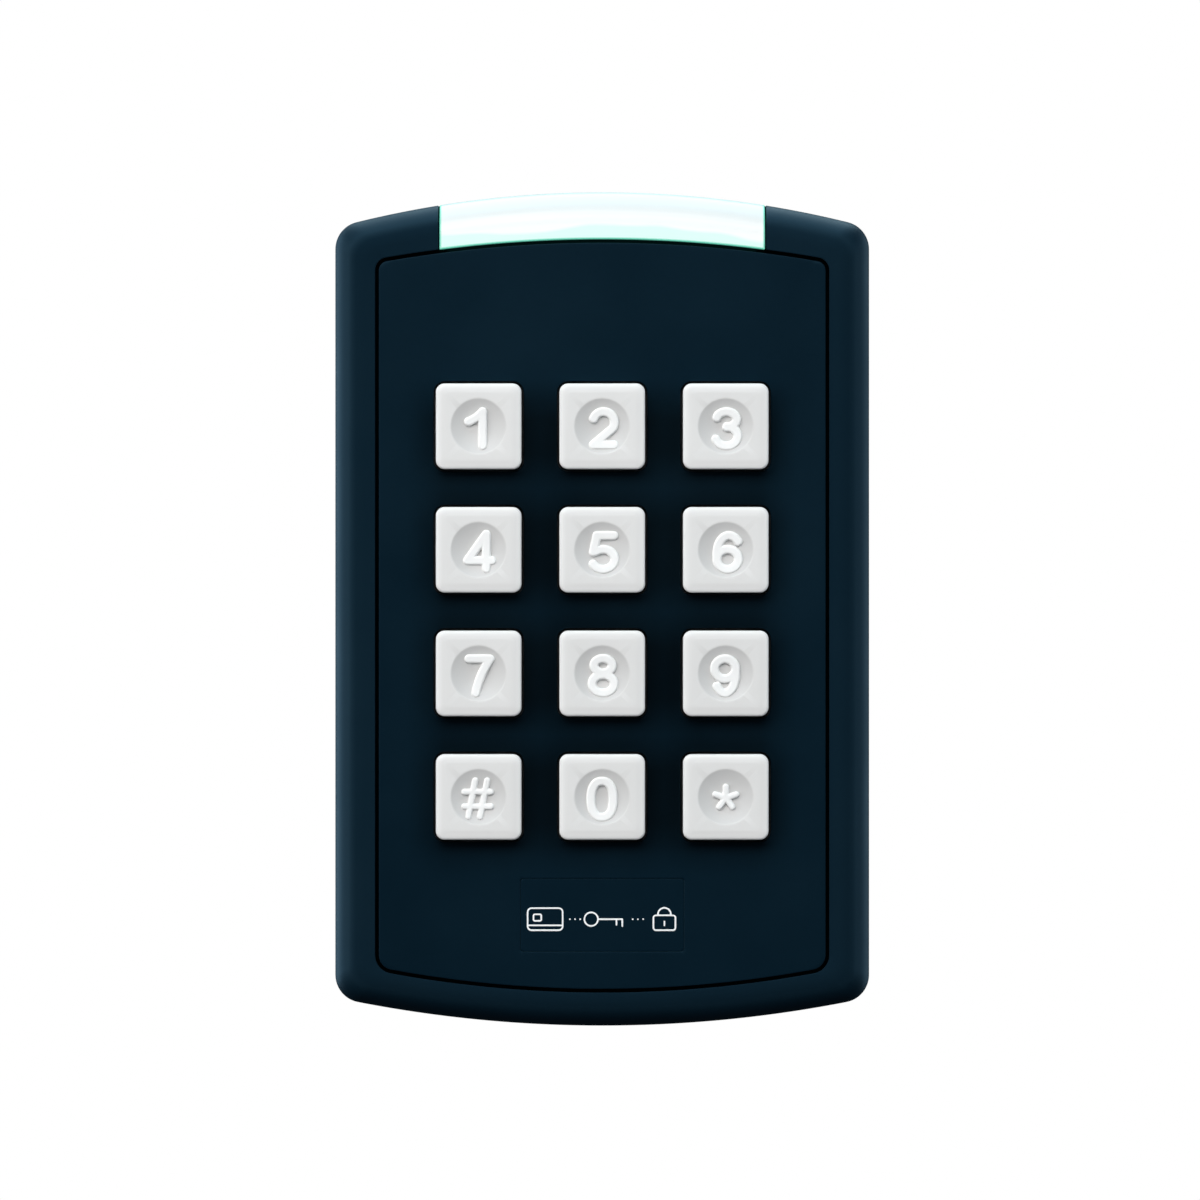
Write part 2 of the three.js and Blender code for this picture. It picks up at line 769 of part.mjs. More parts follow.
function makeSpring() {
  const clear = tamperWireRadius + fit;
  const path = new Helix(tamperSpringRadius, collarFront + clear, switchBack - clear, tamperSpringTurns);
  const section = new THREE.Shape(circle(tamperWireRadius, 0, 0, 5));
  const steps = tamperSpringTurns * 10;
  return solid(new THREE.ExtrudeGeometry(section, { extrudePath: path, steps, curveSegments: 1 }));
}

piece("tamper_spring", "steel", makeSpring()).position.set(tamperX, tamperY, 0);

export default reader;
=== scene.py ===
import math
from functools import partial, reduce

import bmesh
import bpy
import numpy as np
from mathutils import Matrix, Vector


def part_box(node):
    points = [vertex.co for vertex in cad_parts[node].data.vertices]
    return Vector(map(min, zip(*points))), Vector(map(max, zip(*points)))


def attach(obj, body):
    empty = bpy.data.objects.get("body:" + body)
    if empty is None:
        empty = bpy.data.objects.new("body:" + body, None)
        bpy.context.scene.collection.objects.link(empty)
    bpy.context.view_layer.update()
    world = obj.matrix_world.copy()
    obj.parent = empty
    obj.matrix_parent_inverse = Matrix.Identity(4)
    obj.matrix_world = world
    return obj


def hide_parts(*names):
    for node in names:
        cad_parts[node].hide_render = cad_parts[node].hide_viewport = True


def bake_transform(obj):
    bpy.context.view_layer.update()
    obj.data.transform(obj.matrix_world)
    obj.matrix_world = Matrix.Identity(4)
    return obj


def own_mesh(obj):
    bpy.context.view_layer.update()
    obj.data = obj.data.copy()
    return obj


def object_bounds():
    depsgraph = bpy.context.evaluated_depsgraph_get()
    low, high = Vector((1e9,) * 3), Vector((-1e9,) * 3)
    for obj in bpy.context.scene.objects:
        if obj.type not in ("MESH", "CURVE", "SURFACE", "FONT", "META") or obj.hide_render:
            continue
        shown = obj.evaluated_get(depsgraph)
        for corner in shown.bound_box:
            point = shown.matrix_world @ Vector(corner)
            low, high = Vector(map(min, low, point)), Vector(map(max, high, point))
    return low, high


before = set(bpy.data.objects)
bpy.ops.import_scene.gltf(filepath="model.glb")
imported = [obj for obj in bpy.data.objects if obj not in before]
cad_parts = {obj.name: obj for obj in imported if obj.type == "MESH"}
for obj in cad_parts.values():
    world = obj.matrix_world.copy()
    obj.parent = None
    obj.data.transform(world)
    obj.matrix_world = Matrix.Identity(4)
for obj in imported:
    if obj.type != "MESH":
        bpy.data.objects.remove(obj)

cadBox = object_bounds()
scene = bpy.context.scene
metresPerMm = 0.001


# Lengths below are in millimetres: across (x), up (z) and out, which is the distance from the wall.
def place(across, up, out):
    return Vector((across, -out, up)) * metresPerMm


def boxMm(node):
    low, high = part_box(node)
    return {
        "left": low.x / metresPerMm, "right": high.x / metresPerMm,
        "bottom": low.z / metresPerMm, "top": high.z / metresPerMm,
        "back": -high.y / metresPerMm, "front": -low.y / metresPerMm,
    }


def middleOf(box):
    return (box["left"] + box["right"]) / 2, (box["bottom"] + box["top"]) / 2


housingBox, panelBox, lensBox = boxMm("front_housing"), boxMm("face_panel"), boxMm("light_lens")
keyNames = [f"key_{n}" for n in range(1, 10)] + ["key_hash", "key_0", "key_star"]
keyBox = boxMm("key_5")
keyCentres = {name: middleOf(boxMm(name)) for name in keyNames}
keyProud = keyBox["front"] - panelBox["front"]


# Shader nodes. A socket knows its tree, so these take sockets and numbers alike.

def addNode(tree, kind, **settings):
    node = tree.nodes.new(kind)
    for key, value in settings.items():
        setattr(node, key, value)
    return node


def feed(socket, value):
    if isinstance(value, bpy.types.NodeSocket):
        socket.id_data.links.new(value, socket)
    else:
        socket.default_value = (*value, 1.0) if isinstance(value, tuple) else value


def feedAll(node, **values):
    # from names such as From_Min
    for label, value in values.items():
        feed(node.inputs[label.replace("_", " ")], value)


def maths(operation, *values, clamp=False):
    tree = next(value.id_data for value in values if isinstance(value, bpy.types.NodeSocket))
    node = addNode(tree, "ShaderNodeMath", operation=operation, use_clamp=clamp)
    for socket, value in zip(node.inputs, values):
        feed(socket, value)
    return node.outputs[0]


plus, minus, times, over = (partial(maths, kind) for kind in ("ADD", "SUBTRACT", "MULTIPLY", "DIVIDE"))
larger, smaller = partial(maths, "MAXIMUM"), partial(maths, "MINIMUM")
magnitude, root = partial(maths, "ABSOLUTE"), partial(maths, "SQRT")


def spread(value, low, high, newLow, newHigh):
    node = addNode(value.id_data, "ShaderNodeMapRange")
    feedAll(node, Value=value, From_Min=low, From_Max=high, To_Min=newLow, To_Max=newHigh)
    return node.outputs["Result"]


def mixColour(mask, first, second):
    node = addNode(mask.id_data, "ShaderNodeMix", data_type="RGBA", clamp_factor=True)
    for socket, value in zip((node.inputs[0], node.inputs[6], node.inputs[7]), (mask, first, second)):
        feed(socket, value)
    return node.outputs[2]


def surfaceSpot(tree):
    return addNode(tree, "ShaderNodeTexCoord").outputs["Object"]


def noiseAt(where, scale, detail=2.0, roughness=0.5):
    node = addNode(where.id_data, "ShaderNodeTexNoise")
    feedAll(node, Vector=where, Scale=scale, Detail=detail, Roughness=roughness)
    return node.outputs["Fac"]


def spotMm(tree):
    # where a point lies: across, up and out from the wall
    spot = addNode(tree, "ShaderNodeSeparateXYZ")
    feed(spot.inputs[0], surfaceSpot(tree))
    units = (("X", metresPerMm), ("Z", metresPerMm), ("Y", -metresPerMm))
    return [over(spot.outputs[axis], unit) for axis, unit in units]


def lengthOf(across, up):
    return root(plus(times(across, across), times(up, up)))


def pastArch(across, up, radius, centreUp):
    # how far outside an arch a point lies, less than nothing inside it
    return minus(lengthOf(across, minus(up, centreUp)), radius)


# Node groups that several finishes share

def newGroup(name, inputs, results):
    # what goes in and comes out are single numbers
    group = bpy.data.node_groups.new(name, "ShaderNodeTree")
    for label, value in inputs.items():
        socket = group.interface.new_socket(label, in_out="INPUT", socket_type="NodeSocketFloat")
        socket.default_value = value
    for label in results:
        group.interface.new_socket(label, in_out="OUTPUT", socket_type="NodeSocketFloat")
    return group, group.nodes.new("NodeGroupInput").outputs, group.nodes.new("NodeGroupOutput").inputs


def placeGroup(tree, group, **values):
    node = addNode(tree, "ShaderNodeGroup", node_tree=group)
    feedAll(node, **values)
    return node.outputs


def scaleFor(sizeMm):
    return over(1 / metresPerMm, sizeMm)


grain = {"fineShare": 0.6, "pitShare": 0.4, "pitScale": 0.8, "speckleFrom": 0.35, "speckleTo": 0.65}
wear = {"sharpFrom": 0.505, "sharpTo": 0.58, "patchFrom": 0.4, "patchTo": 0.65, "least": 0.2}
dust = {"upFrom": 0.2, "patchFrom": 0.35, "patchTo": 0.7, "least": 0.1}
markStretch = (1.0, 0.08, 1.0)


def makeGrainGroup():
    # the spark-eroded texture of a moulding: fine pits for the bump, slow drifts for colour and gloss
    group, given, results = newGroup("mouldedGrain", {"Grain Size": 0.35, "Drift Size": 18.0},
                                     ("Height", "Drift", "Speckle"))
    where, grainScale = surfaceSpot(group), scaleFor(given["Grain Size"])
    fine = noiseAt(where, grainScale, 3.0, 0.6)
    pits = addNode(group, "ShaderNodeTexVoronoi", feature="F1")
    feedAll(pits, Vector=where, Scale=times(grainScale, grain["pitScale"]))
    feed(results["Height"], plus(times(fine, grain["fineShare"]),
                                 times(pits.outputs["Distance"], grain["pitShare"])))
    feed(results["Drift"], noiseAt(where, scaleFor(given["Drift Size"]), 3.0))
    feed(results["Speckle"], spread(fine, grain["speckleFrom"], grain["speckleTo"], 0.0, 1.0))
    return group


def makeWearGroup():
    # rubbed outer edges, broken up so that they never run as an even line
    group, given, results = newGroup("edgeWear", {"Amount": 0.5, "Patch Size": 6.0}, ("Mask",))
    pointiness = addNode(group, "ShaderNodeNewGeometry").outputs["Pointiness"]
    sharp = spread(pointiness, wear["sharpFrom"], wear["sharpTo"], 0.0, 1.0)
    patches = noiseAt(surfaceSpot(group), scaleFor(given["Patch Size"]), 4.0)
    patches = spread(patches, wear["patchFrom"], wear["patchTo"], wear["least"], 1.0)
    feed(results["Mask"], times(times(sharp, patches), given["Amount"], clamp=True))
    return group


def makeDustGroup():
    # a thin film of dust that settles on faces that look up
    group, given, results = newGroup("settledDust", {"Amount": 0.3, "Patch Size": 9.0}, ("Mask",))
    facing = addNode(group, "ShaderNodeSeparateXYZ")
    feed(facing.inputs[0], addNode(group, "ShaderNodeNewGeometry").outputs["Normal"])
    upward = spread(facing.outputs["Z"], dust["upFrom"], 1.0, 0.0, 1.0)
    patches = noiseAt(surfaceSpot(group), scaleFor(given["Patch Size"]), 5.0, 0.65)
    patches = spread(patches, dust["patchFrom"], dust["patchTo"], dust["least"], 1.0)
    feed(results["Mask"], times(times(upward, patches), given["Amount"], clamp=True))
    return group


def makeMarksGroup():
    # fine turning and rolling marks on bare metal
    group, given, results = newGroup("metalMarks", {"Mark Size": 0.12, "Stain Size": 3.0},
                                     ("Height", "Stain"))
    where = surfaceSpot(group)
    stretch = addNode(group, "ShaderNodeMapping")
    feed(stretch.inputs["Vector"], where)
    stretch.inputs["Scale"].default_value = markStretch
    feed(results["Height"], noiseAt(stretch.outputs[0], scaleFor(given["Mark Size"]), 2.0))
    feed(results["Stain"], noiseAt(where, scaleFor(given["Stain Size"]), 4.0))
    return group


grainGroup, wearGroup = makeGrainGroup(), makeWearGroup()
dustGroup, marksGroup = makeDustGroup(), makeMarksGroup()
print("node groups made")


# Sizes of the outlines

housing = {
    "topRadius": 159.0, "bottomRadius": 198.0, "corner": 4.3, "faceCorner": 2.6,
    "edgeRound": 4.8, "backRound": 0.6, "wall": 2.8, "plateWall": 1.3, "plateDepth": 3.5,
    "rimFillet": 0.14, "grooveEase": 0.12, "lensGap": 0.25, "lensWall": 2.2, "lensTurn": 2.4,
    "lensShelf": 0.3, "lensRound": 0.25, "seatStep": 0.4, "edgeSteps": 14, "depth": housingBox["front"],
}
window = {
    "topRadius": 196.0, "bottomRadius": 181.0, "topCorner": 2.1, "bottomCorner": 3.0,
    "groove": 0.8, "ledge": 2.2, "ledgeThickness": 1.6,
}
keyStyle = {
    "flange": 1.0, "flangeThickness": 1.0, "flangeGap": 0.3, "corner": 1.35, "edgeRound": 0.4,
    "bevelIn": 1.35, "bevelOut": 0.14, "dishRadius": 4.4, "dishDepth": 0.85, "dishLip": 0.08,
    "wall": 1.3, "hollowCorner": 0.6, "postRadius": 2.3, "holeGap": 0.35, "edgeTurn": 78,
    "cornerEase": 0.6, "leastCorner": 0.5, "bevelToe": 0.06, "bevelShares": (0.35, 0.7, 0.88, 1.0, 1.14),
    "lipDrop": 0.02, "lipShares": (1.0, 0.55, 0.2), "dishShares": (0.995, 0.97, *np.linspace(0.92, 0.12, 11)),
}
keyStyle["size"] = keyBox["right"] - keyBox["left"] - 2 * keyStyle["flange"]
bodyEdge = {
    "half": housingBox["right"], "top": housingBox["top"], "bottom": housingBox["bottom"],
    "topRadius": housing["topRadius"], "bottomRadius": housing["bottomRadius"],
    "topCorner": housing["corner"], "bottomCorner": housing["corner"],
}
windowEdge = {
    **{key: window[key] for key in ("topRadius", "bottomRadius", "topCorner", "bottomCorner")},
    "half": panelBox["right"] + window["groove"], "top": panelBox["top"] + window["groove"],
    "bottom": panelBox["bottom"] - window["groove"],
}
panelThickness = 2.2
panelBack = panelBox["front"] - panelThickness
cornerSteps, sideArchSteps, midArchSteps = 12, 8, 40
midStart = cornerSteps + sideArchSteps  # from here on, midArchSteps of a loop's points lie over the light bar
keyGrid = {
    "left": keyCentres["key_1"][0], "low": keyCentres["key_star"][1], "top": keyCentres["key_1"][1],
    "pitch": keyCentres["key_2"][0] - keyCentres["key_1"][0],
    "half": (keyBox["right"] - keyBox["left"]) / 2 - keyStyle["flange"], "columns": 3, "rows": 4,
}


# Node groups that know this reader's shape

windowFade = (0.4, 0.8)  # how far past the window's edge its darkness begins and ends to fade


def makeRecessGroup():
    # depth under the face, and whether a point lies within the panel's window
    group, given, results = newGroup("recessShade", {"Front": housing["depth"]}, ("Depth", "Inside"))
    across, up, outward = spotMm(group)
    feed(results["Depth"], minus(given["Front"], outward))
    pastSide = minus(magnitude(across), windowEdge["half"])
    pastTop = pastArch(across, up, windowEdge["topRadius"], windowEdge["top"] - windowEdge["topRadius"])
    pastBottom = pastArch(across, up, windowEdge["bottomRadius"],
                          windowEdge["bottom"] + windowEdge["bottomRadius"])
    feed(results["Inside"], spread(larger(larger(pastSide, pastTop), pastBottom), *windowFade, 1.0, 0.0))
    return group


def fromNearestKey(value, first, count):
    # how far a point is from the middle of the nearest key, along one direction
    pitch = keyGrid["pitch"]
    step = maths("ROUND", over(minus(value, first), pitch))
    step = smaller(larger(step, 0.0), count - 1.0)
    return magnitude(minus(value, plus(times(step, pitch), first)))


def fromKeyMiddle(across, up):
    return (fromNearestKey(across, keyGrid["left"], keyGrid["columns"]),
            fromNearestKey(up, keyGrid["low"], keyGrid["rows"]))


# how far the painted shade round the keys reaches
keyShadowFade = {
    "beside": 0.49, "besideFar": 0.215, "between": 0.13, "near": 4.0, "sideReach": 4.4, "sideStart": 1.2,
    "topFade": 5.5, "topReach": 0.8, "bottomStart": 1.0, "bottomReach": 5.5,
}


def makeKeyShadowGroup():
    # painted shade round the keys, where they keep the light off the panel, most of it between neighbours in
    # a row
    group, given, results = newGroup("keySurround", {"Amount": 1.0}, ("Mask",))
    across, up, _ = spotMm(group)
    beside, above = fromKeyMiddle(across, up)
    near, far = keyShadowFade["near"], keyGrid["pitch"] / 2
    paintedShadow = plus(spread(above, near, far, keyShadowFade["beside"], keyShadowFade["besideFar"]),
                spread(beside, near, far, keyShadowFade["between"], 0.0))
    side, top = keyGrid["half"] - keyGrid["left"], keyGrid["half"] + keyGrid["top"]
    low = keyGrid["low"] - keyGrid["half"]
    fades = [
        spread(magnitude(across), side - keyShadowFade["sideStart"], side + keyShadowFade["sideReach"], 1.0, 0.0),
        spread(up, top - keyShadowFade["topFade"], top + keyShadowFade["topReach"], 1.0, 0.0),
        spread(up, low - keyShadowFade["bottomReach"], low - keyShadowFade["bottomStart"], 0.0, 1.0),
    ]
    for fade in [*fades, given["Amount"]]:
        paintedShadow = times(paintedShadow, fade)
    feed(results["Mask"], paintedShadow)
    return group


def makeKeyTopGroup():
    # the round dish in each key's top, and how far in a point lies from the key's outline
    defaults = {"Radius": keyStyle["dishRadius"], "Softness": 0.3, "Corner": keyStyle["corner"]}
    group, given, results = newGroup("keyTop", defaults, ("Dish", "Inward"))
    across, up, _ = spotMm(group)
    beside, above = fromKeyMiddle(across, up)
    inward = minus(given["Radius"], lengthOf(beside, above))
    feed(results["Dish"], over(inward, given["Softness"], clamp=True))
    corner = given["Corner"]
    past = [larger(plus(minus(gap, keyGrid["half"]), corner), 0.0) for gap in (beside, above)]
    feed(results["Inward"], minus(corner, lengthOf(*past)))
    return group


recessGroup, keyShadowGroup, keyTopGroup = makeRecessGroup(), makeKeyShadowGroup(), makeKeyTopGroup()


# Finishes

def startMaterial(name):
    material = bpy.data.materials.new(name)
    material.use_nodes = True
    tree = material.node_tree
    return material, tree, tree.nodes["Principled BSDF"]


def addBump(shader, height, strength, depthMm):
    bump = addNode(shader.id_data, "ShaderNodeBump")
    feedAll(bump, Strength=strength, Distance=depthMm * metresPerMm, Height=height)
    feed(shader.inputs["Normal"], bump.outputs["Normal"])


plastic = {
    "driftSize": 22.0, "driftRange": (0.3, 0.7), "smoother": 0.04, "rougher": 0.05, "speckle": 0.12,
    "wearPatch": 5.0, "wornShine": 0.12, "dustPatch": 8.0, "dustMatt": 0.3, "dustColour": (0.35, 0.36, 0.36),
    "grainDepth": 0.05,
}


def mouldedPlastic(name, colour, paler, worn, roughness, grainSize, bump, wearAmount, dustAmount, gloss=0.5,
                   tint=(1.0, 1.0, 1.0)):
    material, tree, shader = startMaterial(name)
    moulded = placeGroup(tree, grainGroup, Grain_Size=grainSize, Drift_Size=plastic["driftSize"])
    rubbed = placeGroup(tree, wearGroup, Amount=wearAmount, Patch_Size=plastic["wearPatch"])["Mask"]
    film = placeGroup(tree, dustGroup, Amount=dustAmount, Patch_Size=plastic["dustPatch"])["Mask"]
    tone = mixColour(spread(moulded["Drift"], *plastic["driftRange"], 0.0, 1.0), colour, paler)
    tone = mixColour(times(moulded["Speckle"], plastic["speckle"]), tone, paler)
    tone = mixColour(rubbed, tone, worn)
    rough = spread(moulded["Drift"], *plastic["driftRange"], roughness - plastic["smoother"],
                   roughness + plastic["rougher"])
    rough = minus(rough, times(rubbed, plastic["wornShine"]))
    rough = plus(rough, times(film, plastic["dustMatt"]), clamp=True)
    feedAll(shader, Base_Color=mixColour(film, tone, plastic["dustColour"]), Roughness=rough,
            Specular_IOR_Level=gloss, Specular_Tint=tint)
    addBump(shader, moulded["Height"], bump, plastic["grainDepth"])
    return material


def whatFeeds(material, label):
    return material.node_tree.nodes["Principled BSDF"].inputs[label].links[0].from_socket


def shadeOver(material, dark, roughShare):
    # paints shade: dark takes the colour away, and the share scales the roughness
    tone = mixColour(dark, whatFeeds(material, "Base Color"), (0.0, 0.0, 0.0))
    rough = times(whatFeeds(material, "Roughness"), roughShare)
    feedAll(material.node_tree.nodes["Principled BSDF"], Base_Color=tone, Roughness=rough)


# each pair is where a shade begins and ends, or its values there
rimShade = {"groove": (0.03, 0.25), "flat": (0.25, 0.85), "matt": 1.8, "deepest": 0.98, "grooveShine": 0.35}
panelShade = {"holes": (0.06, 0.4), "deepest": 0.98, "holeShine": 0.35, "keyShadowDark": 1.6,
              "keyShadowRoughShare": 0.8}
# painted shade in the dish and in the gap, and a painted highlight round the brim
keyShade = {
    "softness": 0.3, "dish": (0.56, 0.55, 0.54), "dishShare": 0.85, "brimHighlight": (0.90, 0.89, 0.88),
    "brimReach": (0.35, 1.0), "brimShare": 0.27, "skirt": (0.03, 0.03, 0.032), "skirtReach": (-0.1, 0.3),
}


def shadeHousing(material):
    # painted shade, black inside the window, and more matt on the flat of the rim than round its edge
    recess = placeGroup(material.node_tree, recessGroup, Front=housing["depth"])
    groove = times(recess["Inside"], spread(recess["Depth"], *rimShade["groove"], 0.0, rimShade["deepest"]))
    flat = spread(recess["Depth"], *rimShade["flat"], rimShade["matt"], 1.0)
    shadeOver(material, groove, times(flat, spread(groove, 0.0, 1.0, 1.0, rimShade["grooveShine"])))


def shadePanel(material):
    # painted shade: darker and smoother between the keys, black down in the holes and the groove
    depth = placeGroup(material.node_tree, recessGroup, Front=panelBox["front"])["Depth"]
    holes = spread(depth, *panelShade["holes"], 0.0, panelShade["deepest"])
    # painted shadow of the keys on the panel
    keyShadow = placeGroup(material.node_tree, keyShadowGroup, Amount=1.0)["Mask"]
    dark = larger(holes, times(keyShadow, panelShade["keyShadowDark"]))
    shadeOver(material, dark, smaller(spread(holes, 0.0, 1.0, 1.0, panelShade["holeShine"]),
                                      spread(keyShadow, 0.0, 1.0, 1.0, panelShade["keyShadowRoughShare"])))


def shadeKeys(material):
    # painted light: painted shade greys the dish, a painted highlight lies round the brim, and painted shade
    # makes it dark in the gap
    tree = material.node_tree
    depth = placeGroup(tree, recessGroup, Front=keyBox["front"])["Depth"]
    keyTop = placeGroup(tree, keyTopGroup, Radius=keyStyle["dishRadius"], Softness=keyShade["softness"],
                        Corner=keyStyle["corner"])
    tone = mixColour(times(keyTop["Dish"], keyShade["dishShare"]), whatFeeds(material, "Base Color"),
                     keyShade["dish"])
    tone = mixColour(spread(keyTop["Inward"], *keyShade["brimReach"], keyShade["brimShare"], 0.0), tone,
                     keyShade["brimHighlight"])
    skirt = spread(depth, *(keyProud + past for past in keyShade["skirtReach"]), 0.0, 1.0)
    feedAll(tree.nodes["Principled BSDF"], Base_Color=mixColour(skirt, tone, keyShade["skirt"]))


metal = {
    "stainSize": 2.5, "stainRange": (0.4, 0.75), "markRange": (0.3, 0.7), "smoother": 0.06, "rougher": 0.1,
    "wear": 0.5, "wearPatch": 2.0, "worn": (0.9, 0.9, 0.9), "bump": 0.3, "markDepth": 0.02,
}


def bareMetal(name, colour, stained, roughness, markSize):
    material, tree, shader = startMaterial(name)
    marks = placeGroup(tree, marksGroup, Mark_Size=markSize, Stain_Size=metal["stainSize"])
    rubbed = placeGroup(tree, wearGroup, Amount=metal["wear"], Patch_Size=metal["wearPatch"])["Mask"]
    tone = mixColour(spread(marks["Stain"], *metal["stainRange"], 0.0, 1.0), colour, stained)
    rough = spread(marks["Height"], *metal["markRange"], roughness - metal["smoother"],
                   roughness + metal["rougher"])
    feedAll(shader, Base_Color=mixColour(rubbed, tone, metal["worn"]), Roughness=rough, Metallic=1.0)
    addBump(shader, marks["Height"], metal["bump"], metal["markDepth"])
    return material


# the lens's tones paint light: shade over the crest, top and bend, a reflection in the mint foot, and a green
# edge glow along the rim
lens = {
    "crestShade": (0.33, 0.42, 0.395), "top": (0.425, 0.44, 0.435), "bend": (0.465, 0.475, 0.47),
    "face": (0.595, 0.605, 0.60), "foot": (0.46, 0.61, 0.565), "edgeGlow": (0.05, 0.40, 0.27),
    "crestBand": 0.25, "crestSoft": 0.15, "topBand": 2.9, "topFade": (-0.9, 0.1), "bendRange": (3.4, 5.0),
    "footBand": 1.8, "footSway": 0.9, "footSoft": 0.25, "swayScale": 70.0, "swayRange": (0.3, 0.7),
    "sideRange": (-0.35, -0.1), "grooveReach": 0.24, "rimShare": 0.9, "speckle": 0.04, "glow": 0.6,
    "gloss": 0.4, "roughness": (0.3, 0.4), "grainSize": 0.25, "driftSize": 14.0, "bump": 0.06,
    "grainDepth": 0.03,
}


def frostedLens(name):
    # milky diffuser with light and shade painted in: darker over the top and its crest as painted shade
    # against the light from above, a mint foot with a wandering edge that is a painted reflection, and a
    # painted edge glow, greener along its cut edges
    material, tree, shader = startMaterial(name)
    moulded = placeGroup(tree, grainGroup, Grain_Size=lens["grainSize"], Drift_Size=lens["driftSize"])
    across, up, _ = spotMm(tree)
    pastTop, fromGroove = (pastArch(across, up, edge["topRadius"], edge["top"] - edge["topRadius"])
                           for edge in (bodyEdge, windowEdge))
    fromTop = times(pastTop, -1.0)
    sway = noiseAt(surfaceSpot(tree), lens["swayScale"], 1.0)
    footEdge = plus(spread(sway, *lens["swayRange"], -lens["footSway"], lens["footSway"]), lens["footBand"])
    # painted shade: darker where the face turns over towards the top
    tone = mixColour(spread(fromTop, *lens["bendRange"], 0.0, 1.0), lens["bend"], lens["face"])
    # painted shade over the top and crest, a painted reflection in the foot, a painted edge glow round the
    # rim; the last entry is speckle in the grain
    bands = [
        ("top", spread(minus(fromTop, lens["topBand"]), *lens["topFade"], 1.0, 0.0)),
        ("crestShade", spread(minus(fromTop, lens["crestBand"]), -lens["crestSoft"], lens["crestSoft"], 1.0, 0.0)),
        ("foot", spread(minus(fromGroove, footEdge), -lens["footSoft"], lens["footSoft"], 1.0, 0.0)),
        ("edgeGlow", larger(spread(magnitude(across), *(lensBox["right"] + past for past in lens["sideRange"]),
                              0.0, lens["rimShare"]),
                       spread(fromGroove, 0.0, lens["grooveReach"], lens["rimShare"], 0.0))),
        ("foot", times(moulded["Speckle"], lens["speckle"])),
    ]
    for band, mask in bands:
        tone = mixColour(mask, tone, lens[band])
    rough = spread(moulded["Drift"], *plastic["driftRange"], *lens["roughness"])
    feedAll(shader, Base_Color=tone, Emission_Color=tone, Emission_Strength=lens["glow"], Roughness=rough,
            Specular_IOR_Level=lens["gloss"])
    addBump(shader, moulded["Height"], lens["bump"], lens["grainDepth"])
    return material


laminate = {  # green solder mask with the faint weave of the glass cloth under it
    "directions": "XZ", "scale": 320.0, "dark": (0.008, 0.07, 0.03), "light": (0.015, 0.12, 0.05),
    "roughness": (0.28, 0.42), "metallic": 0.0, "bump": 0.15, "depth": 0.02,
}
# the stripes follow the turns, and the darker tone in the grooves between them is painted shade
winding = {  # enamelled wire laid side by side round the coil
    "directions": "Y", "scale": 900.0, "dark": (0.16, 0.045, 0.015), "light": (0.55, 0.2, 0.08),
    "roughness": (0.45, 0.25), "metallic": 0.8, "bump": 0.5, "depth": 0.05,
}


def strandedFinish(name, look):
    material, tree, shader = startMaterial(name)
    strands = []
    for direction in look["directions"]:
        waves = addNode(tree, "ShaderNodeTexWave", wave_type="BANDS", bands_direction=direction)
        feedAll(waves, Vector=surfaceSpot(tree), Scale=look["scale"])
        strands.append(waves.outputs["Fac"])
    height = reduce(times, strands)
    feedAll(shader, Base_Color=mixColour(height, look["dark"], look["light"]), Metallic=look["metallic"],
            Roughness=spread(height, 0.0, 1.0, *look["roughness"]))
    addBump(shader, height, look["bump"], look["depth"])
    return material


